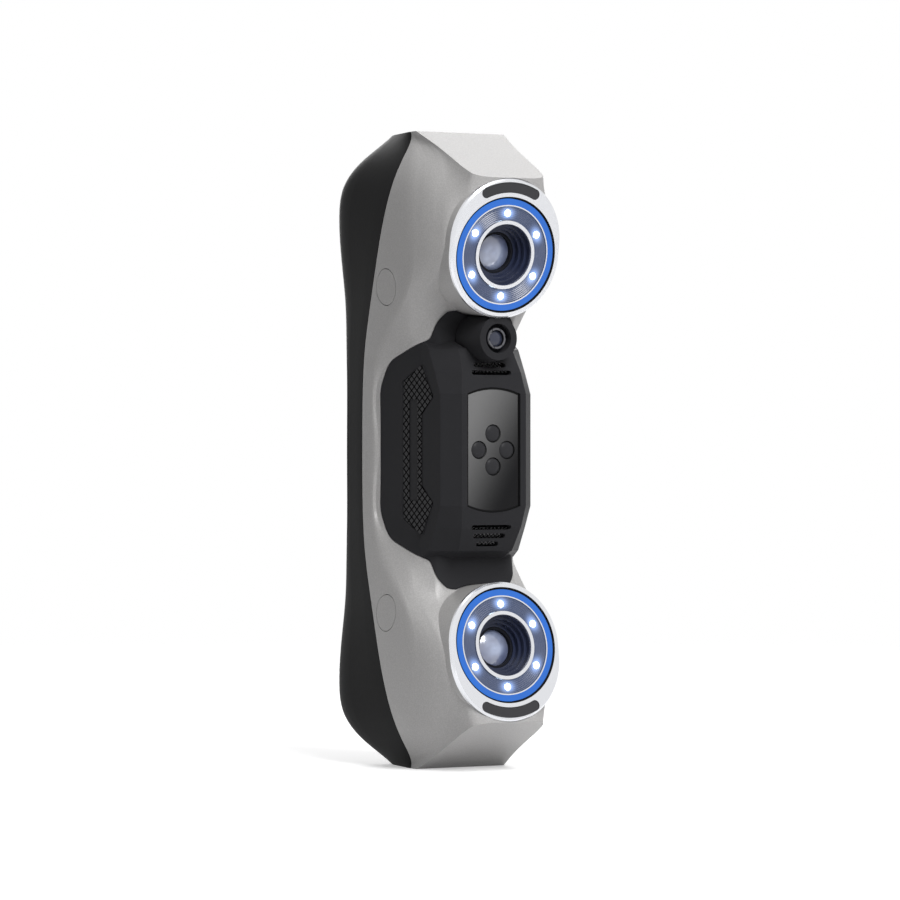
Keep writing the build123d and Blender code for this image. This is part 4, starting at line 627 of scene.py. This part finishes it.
def pick(piece, test):
    """Selects the faces of a piece whose centre and direction pass a test, for the next step."""
    bpy.ops.object.mode_set(mode="EDIT")
    bpy.ops.mesh.select_mode(type="FACE")
    bpy.ops.mesh.select_all(action="DESELECT")
    bpy.ops.object.mode_set(mode="OBJECT")
    for face in piece.data.polygons:
        face.select = test(face.center, face.normal)
    bpy.ops.object.mode_set(mode="EDIT")


def weld(angle=35.0):
    """Merges doubled points, turns the faces outwards and leaves edit mode with smooth curves."""
    bpy.ops.mesh.select_all(action="SELECT")
    bpy.ops.mesh.remove_doubles(threshold=WELD_REACH)
    bpy.ops.mesh.normals_make_consistent(inside=False)
    bpy.ops.object.mode_set(mode="OBJECT")
    bpy.ops.object.shade_smooth_by_angle(angle=radians(angle))


def settle(piece, stand):
    """Places a finished piece by its frame and applies the place to its mesh."""
    choose(piece)
    piece.matrix_world = stand
    bpy.ops.object.transform_apply(location=True, rotation=True, scale=True)


def copy_of(piece, name):
    """Copies a piece with a mesh of its own."""
    choose(piece)
    bpy.ops.object.duplicate(linked=False)
    twin = bpy.context.object
    twin.name = twin.data.name = name
    return twin


def lathe(name, profile, steps=96):
    """Draws a closed profile of (radius, height) points and spins it about the upright axis."""
    piece = start(name, "plane", size=MM)
    edit()
    bpy.ops.mesh.merge(type="CENTER")
    radius, height = profile[0]
    bpy.ops.transform.translate(value=(radius, 0.0, height))
    for (radius, height), (next_radius, next_height) in zip(profile, profile[1:] + profile[:1]):
        move = {"value": (next_radius - radius, 0.0, next_height - height)}
        bpy.ops.mesh.extrude_region_move(TRANSFORM_OT_translate=move)
    bpy.ops.mesh.select_all(action="SELECT")
    bpy.ops.mesh.remove_doubles(threshold=WELD_REACH)
    bpy.ops.mesh.spin(steps=steps, angle=tau, center=ORIGIN, axis=(0.0, 0.0, 1.0))
    weld()
    return piece


def dome(name, radius, rise, stem, flare=1.0):
    """A dome on a round stem, with the dome's rim at the origin."""
    model = start(name, "uv_sphere", segments=32, ring_count=16, radius=radius)
    pick(model, lambda centre, normal: centre.z < 0.0)
    bpy.ops.mesh.delete(type="FACE")
    edit()
    bpy.ops.transform.resize(value=(1.0, 1.0, rise / radius), center_override=ORIGIN)
    bpy.ops.mesh.select_mode(type="EDGE")
    bpy.ops.mesh.select_all(action="SELECT")
    bpy.ops.mesh.region_to_loop()
    bpy.ops.mesh.extrude_region_move(TRANSFORM_OT_translate={"value": (0.0, 0.0, -stem)})
    bpy.ops.transform.resize(value=(flare, flare, 1.0))
    bpy.ops.mesh.edge_face_add()
    weld()
    return model


def unite(pieces, name):
    """Joins pieces into one and names it."""
    choose(*pieces)
    bpy.ops.object.join()
    whole = bpy.context.object
    whole.name = whole.data.name = name
    return whole


class SCANNER_OT_covers(bpy.types.Operator):
    """Model the ribbed clear covers over the pods' lamps"""

    bl_idname = "scanner.covers"
    bl_label = "Ribbed Lamp Covers"

    def execute(self, context):
        detail = context.scene.scanner_detail
        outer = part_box("led_cover_upper")[1][0]
        back = COVER_FRONT - detail.cover_thickness
        count = int((outer - COVER_INNER) / detail.rib_pitch)
        pitch = (outer - COVER_INNER) / count
        profile = [(COVER_INNER, back), (COVER_INNER, COVER_FRONT)]
        for rib in range(count):
            profile.append((COVER_INNER + (rib + 0.5) * pitch, COVER_FRONT - detail.rib_depth))
            profile.append((COVER_INNER + (rib + 1.0) * pitch, COVER_FRONT))
        profile.append((outer, back))
        model = lathe("ribbed_cover_upper", profile, steps=128)
        twin = copy_of(model, "ribbed_cover_lower")
        for piece, (end, side) in zip((model, twin), ENDS.items()):
            settle(piece, pod_frame(side))
            fit(piece, "clear_plastic", replaced=(f"led_cover_{end}",), finish="lamp_cover")
        return {"FINISHED"}


class SCANNER_OT_lamps(bpy.types.Operator):
    """Model the six domed lamps of each pod"""

    bl_idname = "scanner.lamps"
    bl_label = "Lamps"

    def execute(self, context):
        detail = context.scene.scanner_detail
        radius = detail.lamp_radius
        model = dome("lamp_model", radius, radius, detail.lamp_stem, LAMP_FLARE)
        for end, side in ENDS.items():
            lamps = []
            for turn in range(LAMP_COUNT):
                angle = tau * (turn + 1.5) / LAMP_COUNT
                lamp = copy_of(model, f"lamp_{end}_{turn + 1}")
                place = Vector((cos(angle), sin(angle), 0.0)) * LAMP_CIRCLE
                place.z = -detail.lamp_depth - radius
                settle(lamp, pod_frame(side) @ Matrix.Translation(place))
                lamps.append(lamp)
            fit(unite(lamps, f"lamps_{end}"), "led_white", replaced=(f"leds_{end}",))
        bpy.data.objects.remove(model)
        return {"FINISHED"}


class SCANNER_OT_cells(bpy.types.Operator):
    """Model the four domed cells of the projector window"""

    bl_idname = "scanner.cells"
    bl_label = "Projector Cells"

    def execute(self, context):
        detail = context.scene.scanner_detail
        high = Vector(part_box("projector_lenses")[1])
        radius = detail.cell_radius
        pitch = high.x - radius
        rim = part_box("projector_window")[0][1] + detail.cell_depth
        model = dome("cell_model", radius, detail.cell_rise, high.y - rim)
        cells = []
        for turn in range(CELL_COUNT):
            angle = tau * turn / CELL_COUNT
            cell = copy_of(model, f"cell_{turn + 1}")
            place = Vector((pitch * cos(angle), rim, MID_Z + pitch * sin(angle)))
            settle(cell, Matrix.Translation(place) @ TOP_FORWARDS)
            cells.append(cell)
        fit(unite(cells, "domed_cells"), "cell_glass", replaced=("projector_lenses",))
        bpy.data.objects.remove(model)
        return {"FINISHED"}


class SCANNER_OT_tiles(bpy.types.Operator):
    """Model the diamond tiles of the side panel, in zones round its bare strip"""

    bl_idname = "scanner.tiles"
    bl_label = "Side Panel Tiles"

    def execute(self, context):
        detail = context.scene.scanner_detail
        sheet = start("tile_sheet", "grid", x_subdivisions=TILE_COUNT, y_subdivisions=TILE_COUNT, size=1.0)
        edit()
        bpy.ops.transform.rotate(value=DIAMOND_TURN, orient_axis="Z", center_override=ORIGIN)
        across, along = detail.tile_pitch
        half = TILE_COUNT / 2 ** 0.5
        bpy.ops.transform.resize(value=(across * half, along * half, 1.0), center_override=ORIGIN)
        bpy.ops.mesh.inset(thickness=detail.tile_groove, depth=detail.tile_height, use_individual=True)
        edit("OBJECT")
        zones = []
        for corners in self.zones():
            points = [Vector((depth * MM - PANEL_MIDDLE, height * MM, 0.0)) for depth, height in corners]
            centre = sum(points, Vector()) / len(points)
            zone = copy_of(sheet, "tile_zone")
            edit()
            for first, second in zip(points, points[1:] + points[:1]):
                way = second - first
                normal = Vector((way.y, -way.x, 0.0)).normalized()
                if normal.dot(centre - first) > 0.0:
                    normal = -normal
                bpy.ops.mesh.select_all(action="SELECT")
                bpy.ops.mesh.bisect(plane_co=first, plane_no=normal, clear_outer=True, threshold=CUT_REACH)
            edit("OBJECT")
            zones.append(zone)
        tiles = unite(zones, "side_tiles")
        edit()
        bpy.ops.mesh.remove_doubles(threshold=WELD_REACH)
        edit("OBJECT")
        bpy.data.objects.remove(sheet)
        stand = self.panel()
        settle(tiles, stand)
        fit(tiles, "mesh_black", finish="groove_black")
        tiles.data.materials.append(FINISHES["tile_grey"])
        out, foot = stand.col[2].to_3d(), stand.translation
        level = detail.tile_height / 2
        pick(tiles, lambda centre, normal: (centre - foot).dot(out) > level and normal.dot(out) > TOP_FACING)
        tiles.active_material_index = 1
        bpy.ops.object.material_slot_assign()
        edit("OBJECT")
        return {"FINISHED"}

    def zones(self):
        """The zones of the panel's upper half, and their mirror images below."""
        lower = [[(depth, -height) for depth, height in zone] for zone in PANEL_ZONES]
        return [*PANEL_ZONES, *lower]

    def panel(self):
        """Frame of the panel: backwards, downwards and out of the left side."""
        lean = atan2(PANEL_LEAN, 1.0)
        side = PANEL_SIDE + (PANEL_MIDDLE - PANEL_EDGE) * PANEL_LEAN - PANEL_SINK
        rows = [
            (-sin(lean), 0.0, -cos(lean), -side),
            (cos(lean), 0.0, -sin(lean), FACE_Y + PANEL_MIDDLE),
            (0.0, -1.0, 0.0, MID_Z),
            (0.0, 0.0, 0.0, 1.0),
        ]
        return Matrix(rows)


class SCANNER_OT_lattices(bpy.types.Operator):
    """Model the woven lattices behind the vent slots"""

    bl_idname = "scanner.lattices"
    bl_label = "Vent Lattices"

    def execute(self, context):
        detail = context.scene.scanner_detail
        grid = {"x_subdivisions": LATTICE_COUNT, "y_subdivisions": LATTICE_COUNT}
        sheet = start("lattice_upper", "grid", **grid, size=LATTICE_COUNT * detail.lattice_pitch)
        edit()
        bpy.ops.transform.rotate(value=DIAMOND_TURN, orient_axis="Z", center_override=ORIGIN)
        edit("OBJECT")
        wires = sheet.modifiers.new("wires", "WIREFRAME")
        wires.thickness = detail.lattice_wire
        bpy.ops.object.modifier_apply(modifier=wires.name)
        for way, reach in zip((Vector((1, 0, 0)), Vector((0, 1, 0))), LATTICE_HALF):
            for normal in (way, -way):
                cut = {"plane_co": normal * reach, "plane_no": normal, "threshold": CUT_REACH}
                edit()
                bpy.ops.mesh.bisect(**cut, clear_outer=True, use_fill=True)
                edit("OBJECT")
        twin = copy_of(sheet, "lattice_lower")
        for piece, side in ((sheet, 1), (twin, -1)):
            settle(piece, self.slope(side))
            fit(piece, "mesh_black", finish="wire_grey")
        return {"FINISHED"}

    def slope(self, side):
        """Frame just in front of the mesh behind the block's sloped wall."""
        along = (VENT_FOOT - VENT_KNEE).normalized()
        inwards = Vector((along.y, -along.x))
        spot = VENT_KNEE + along * VENT_ALONG + inwards * VENT_BEHIND
        rows = [
            (side, 0.0, 0.0, 0.0),
            (0.0, along.x, -inwards.x, FACE_Y + spot.x),
            (0.0, side * along.y, -side * inwards.y, MID_Z + side * spot.y),
            (0.0, 0.0, 0.0, 1.0),
        ]
        return Matrix(rows)


class SCANNER_OT_gaskets(bpy.types.Operator):
    """Model the thin gaskets that fill the seams of the silver shell"""

    bl_idname = "scanner.gaskets"
    bl_label = "Seam Gaskets"

    def execute(self, context):
        shell = NODES["front_housing"]
        detail = context.scene.scanner_detail
        reach = detail.seam_reach
        for name, node in (("rear_gasket", "rear_casing"), ("bezel_gasket", "front_bezel")):
            gasket = bpy.data.objects.new(name, NODES[node].data.copy())
            gasket.data.name = name
            context.collection.objects.link(gasket)
            settle(gasket, NODES[node].matrix_world.copy())
            pick(gasket, lambda centre, normal: not self.faces_shell(shell, centre, normal, reach))
            bpy.ops.mesh.delete(type="FACE")
            edit()
            bpy.ops.mesh.remove_doubles(threshold=WELD_REACH)
            if not gasket.data.total_vert_sel:
                raise RuntimeError(f"no seam found on {node}")
            grow = {"value": detail.gasket_thickness}
            bpy.ops.mesh.extrude_region_shrink_fatten(TRANSFORM_OT_shrink_fatten=grow)
            bpy.ops.mesh.select_all(action="SELECT")
            bpy.ops.transform.resize(value=GASKET_SCALE, center_override=(0.0, 0.0, MID_Z))
            edit("OBJECT")
            fit(gasket, "gasket_black")
        return {"FINISHED"}

    def faces_shell(self, shell, centre, normal, reach):
        """True where a face looks at the shell across a seam."""
        found, spot, facing = shell.closest_point_on_mesh(centre + normal * reach / 2)[:3]
        return found and (spot - centre).length < reach and facing.dot(normal) < SEAM_FACING


class SCANNER_OT_lens_ring(bpy.types.Operator):
    """Model the notched ring round the colour camera's lens"""

    bl_idname = "scanner.lens_ring"
    bl_label = "Notched Lens Ring"

    def execute(self, context):
        inside, top, outside = RING_HEIGHTS
        crest = [(RING_INNER, inside), (RING_OUTER - RING_BEVEL, top), (RING_OUTER, outside)]
        ring = lathe("notched_ring", [(RING_INNER, 0.0), *crest, (RING_OUTER, 0.0)], steps=72)
        pick(ring, self.in_notch)
        bpy.ops.mesh.extrude_region_move(TRANSFORM_OT_translate={"value": (0.0, 0.0, -NOTCH_DEPTH)})
        weld()
        spot = Vector((0.0, FACE_Y + RING_DEPTH, MID_Z + RING_OFFSET))
        settle(ring, Matrix.Translation(spot) @ TOP_FORWARDS)
        fit(ring, "hood_black", finish="ring_grey")
        return {"FINISHED"}

    def in_notch(self, centre, normal):
        """True for the faces on top of the ring that a notch takes in."""
        turn = atan2(centre.y, centre.x) * NOTCH_COUNT / tau
        return normal.z > 0.5 and turn % 1.0 < NOTCH_SHARE


class SCANNER_OT_marks(bpy.types.Operator):
    """Model the raised plus, minus and ring marks on the rear buttons"""

    bl_idname = "scanner.marks"
    bl_label = "Button Marks"

    def execute(self, context):
        size = context.scene.scanner_detail.mark_size
        plus = self.bar("plus_mark", size, lambda centre, normal: abs(normal.z) < 0.5)
        minus = self.bar("minus_mark", size, lambda centre, normal: abs(normal.x) > 0.5)
        inner, outer = size * CIRCLE_SHARE, size * CIRCLE_SHARE + MARK_LINE
        inner_edge = [(inner, MARK_FOOT), (inner, MARK_TOP)]
        outer_edge = [(outer, MARK_TOP), (outer, MARK_FOOT)]
        ring = lathe("scan_mark", inner_edge + outer_edge, steps=64)
        for mark, node in ((plus, "plus_button"), (minus, "minus_button"), (ring, "scan_button")):
            low, high = (Vector(corner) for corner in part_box(node))
            spot = Vector((0.0, high.y, (low.z + high.z) / 2))
            settle(mark, Matrix.Translation(spot) @ TOP_BACKWARDS)
            fit(mark, "button_grey", BODY_OF[node], finish="mark_white")
        return {"FINISHED"}

    def bar(self, name, size, test):
        """A small block that grows arms from the chosen sides."""
        width = size * BAR_SHARE
        mark = start(name, "cube", size=width)
        edit()
        bpy.ops.transform.resize(value=(1.0, 1.0, BAR_HEIGHT / width), center_override=ORIGIN)
        edit("OBJECT")
        pick(mark, test)
        bpy.ops.mesh.extrude_faces_move(TRANSFORM_OT_shrink_fatten={"value": size - width / 2})
        weld()
        return mark


class SCANNER_OT_nodes(bpy.types.Operator):
    """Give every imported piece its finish"""

    bl_idname = "scanner.nodes"
    bl_label = "Finish Packed Pieces"

    def execute(self, context):
        make_finishes(context.scene.scanner_look)
        for name, node in NODES.items():
            node.data.materials.clear()
            node.data.materials.append(FINISHES[SPECIAL.get(name, SLOT_OF[name])])
        return {"FINISHED"}


class SCANNER_OT_stage(bpy.types.Operator):
    """Set up the floor, the lights and the camera"""

    bl_idname = "scanner.stage"
    bl_label = "Studio"

    def execute(self, context):
        studio = context.scene.scanner_studio
        self.floor(studio)
        self.world(context, studio)
        aim = Vector((0.0, studio.aim_y, MID_Z))
        for name, (way, size) in SOFTBOXES.items():
            self.softbox(f"{name}_light", aim, way, size, getattr(studio, f"{name}_power"))
        self.camera(context, studio, aim)
        context.scene.view_settings.view_transform = "Standard"
        return {"FINISHED"}

    def floor(self, studio):
        """Round pale floor that fades out at its rim."""
        floor = start("floor", "circle", vertices=128, radius=studio.floor_radius, fill_type="NGON")
        surface = Surface("floor", Roughness=0.8, Emission_Strength=studio.floor_glow)
        path = surface.tree.nodes.new("ShaderNodeLightPath")
        seen = [Shade(surface, path.outputs[kind]) for kind in SEEN_RAYS]
        shown = seen[0].math("MAXIMUM", seen[0], seen[0].math("MAXIMUM", seen[1], seen[2]))
        surface.set("Emission Color", surface.mix(shown, (0.0, 0.0, 0.0), (1.0, 1.0, 1.0)))
        x, y, z = surface.split(surface.place())
        reach = (x * x + y * y).root()
        speck = surface.noise(scale=60.0, detail=3.0)
        colour = tuple(studio.floor_colour)
        surface.set("Base Color", surface.mix(speck, colour, lighter(colour, 0.03)))
        fade = reach.ease(FADE_START * studio.floor_radius, FADE_END * studio.floor_radius)
        surface.set("Alpha", 1.0 - fade)
        floor.data.materials.append(surface.material)

    def world(self, context, studio):
        """Pale surroundings: white to the eye and in reflections, gentler as a light."""
        world = bpy.data.worlds.new("studio")
        context.scene.world = world
        world.use_nodes = True
        tree = world.node_tree
        tree.nodes.clear()
        path = tree.nodes.new("ShaderNodeLightPath")
        seen = path.outputs[SEEN_RAYS[0]]
        for kind in SEEN_RAYS[1:]:
            either = tree.nodes.new("ShaderNodeMath")
            either.operation = "MAXIMUM"
            tree.links.new(seen, either.inputs[0])
            tree.links.new(path.outputs[kind], either.inputs[1])
            seen = either.outputs[0]
        strength = tree.nodes.new("ShaderNodeMapRange")
        strength.inputs["To Min"].default_value = studio.world_strength
        background = tree.nodes.new("ShaderNodeBackground")
        background.inputs["Color"].default_value = (1.0, 1.0, 1.0, 1.0)
        output = tree.nodes.new("ShaderNodeOutputWorld")
        tree.links.new(seen, strength.inputs["Value"])
        tree.links.new(strength.outputs[0], background.inputs["Strength"])
        tree.links.new(background.outputs[0], output.inputs[0])

    def softbox(self, name, aim, way, size, power):
        """Large soft light that looks at the scanner from a way off."""
        lamp = bpy.data.lights.new(name, "AREA")
        lamp.shape = "RECTANGLE"
        lamp.size, lamp.size_y = size
        lamp.energy = power
        light = bpy.data.objects.new(name, lamp)
        light.location = aim + Vector(way)
        light.rotation_euler = (-Vector(way)).to_track_quat("-Z", "Y").to_euler()
        bpy.context.collection.objects.link(light)

    def camera(self, context, studio, aim):
        """Long lens at the photographed angle."""
        lens = bpy.data.cameras.new("camera")
        lens.sensor_fit = "VERTICAL"
        lens.sensor_height = 36.0
        lens.lens = lens.sensor_height * studio.distance / studio.frame_height
        camera = bpy.data.objects.new("camera", lens)
        way = Vector((sin(studio.azimuth), -cos(studio.azimuth), 0.0))
        camera.location = aim + way * studio.distance
        camera.rotation_euler = (-way).to_track_quat("-Z", "Y").to_euler()
        context.collection.objects.link(camera)
        context.scene.camera = camera


class SCANNER_PT_panel(bpy.types.Panel):
    """Lists the scanner's steps and settings"""

    bl_idname = "SCANNER_PT_panel"
    bl_label = "Scanner"
    bl_space_type = "VIEW_3D"
    bl_region_type = "UI"
    bl_category = "Scanner"

    def draw(self, context):
        for step in STEPS:
            self.layout.operator(step.bl_idname)
        scene = context.scene
        for settings in (scene.scanner_look, scene.scanner_detail, scene.scanner_studio):
            for name in settings.__annotations__:
                self.layout.prop(settings, name)


STEPS = (
    SCANNER_OT_nodes,
    SCANNER_OT_covers,
    SCANNER_OT_lamps,
    SCANNER_OT_cells,
    SCANNER_OT_tiles,
    SCANNER_OT_lattices,
    SCANNER_OT_gaskets,
    SCANNER_OT_lens_ring,
    SCANNER_OT_marks,
    SCANNER_OT_stage,
)
CLASSES = (ScannerLook, ScannerDetail, ScannerStudio, *STEPS, SCANNER_PT_panel)


def register():
    for cls in CLASSES:
        bpy.utils.register_class(cls)
    bpy.types.Scene.scanner_look = PointerProperty(type=ScannerLook)
    bpy.types.Scene.scanner_detail = PointerProperty(type=ScannerDetail)
    bpy.types.Scene.scanner_studio = PointerProperty(type=ScannerStudio)


def unregister():
    del bpy.types.Scene.scanner_studio
    del bpy.types.Scene.scanner_detail
    del bpy.types.Scene.scanner_look
    for cls in reversed(CLASSES):
        bpy.utils.unregister_class(cls)


def main():
    register()
    for step in STEPS:
        group, name = step.bl_idname.split(".")
        getattr(getattr(bpy.ops, group), name)()


if __name__ == "__main__":
    main()
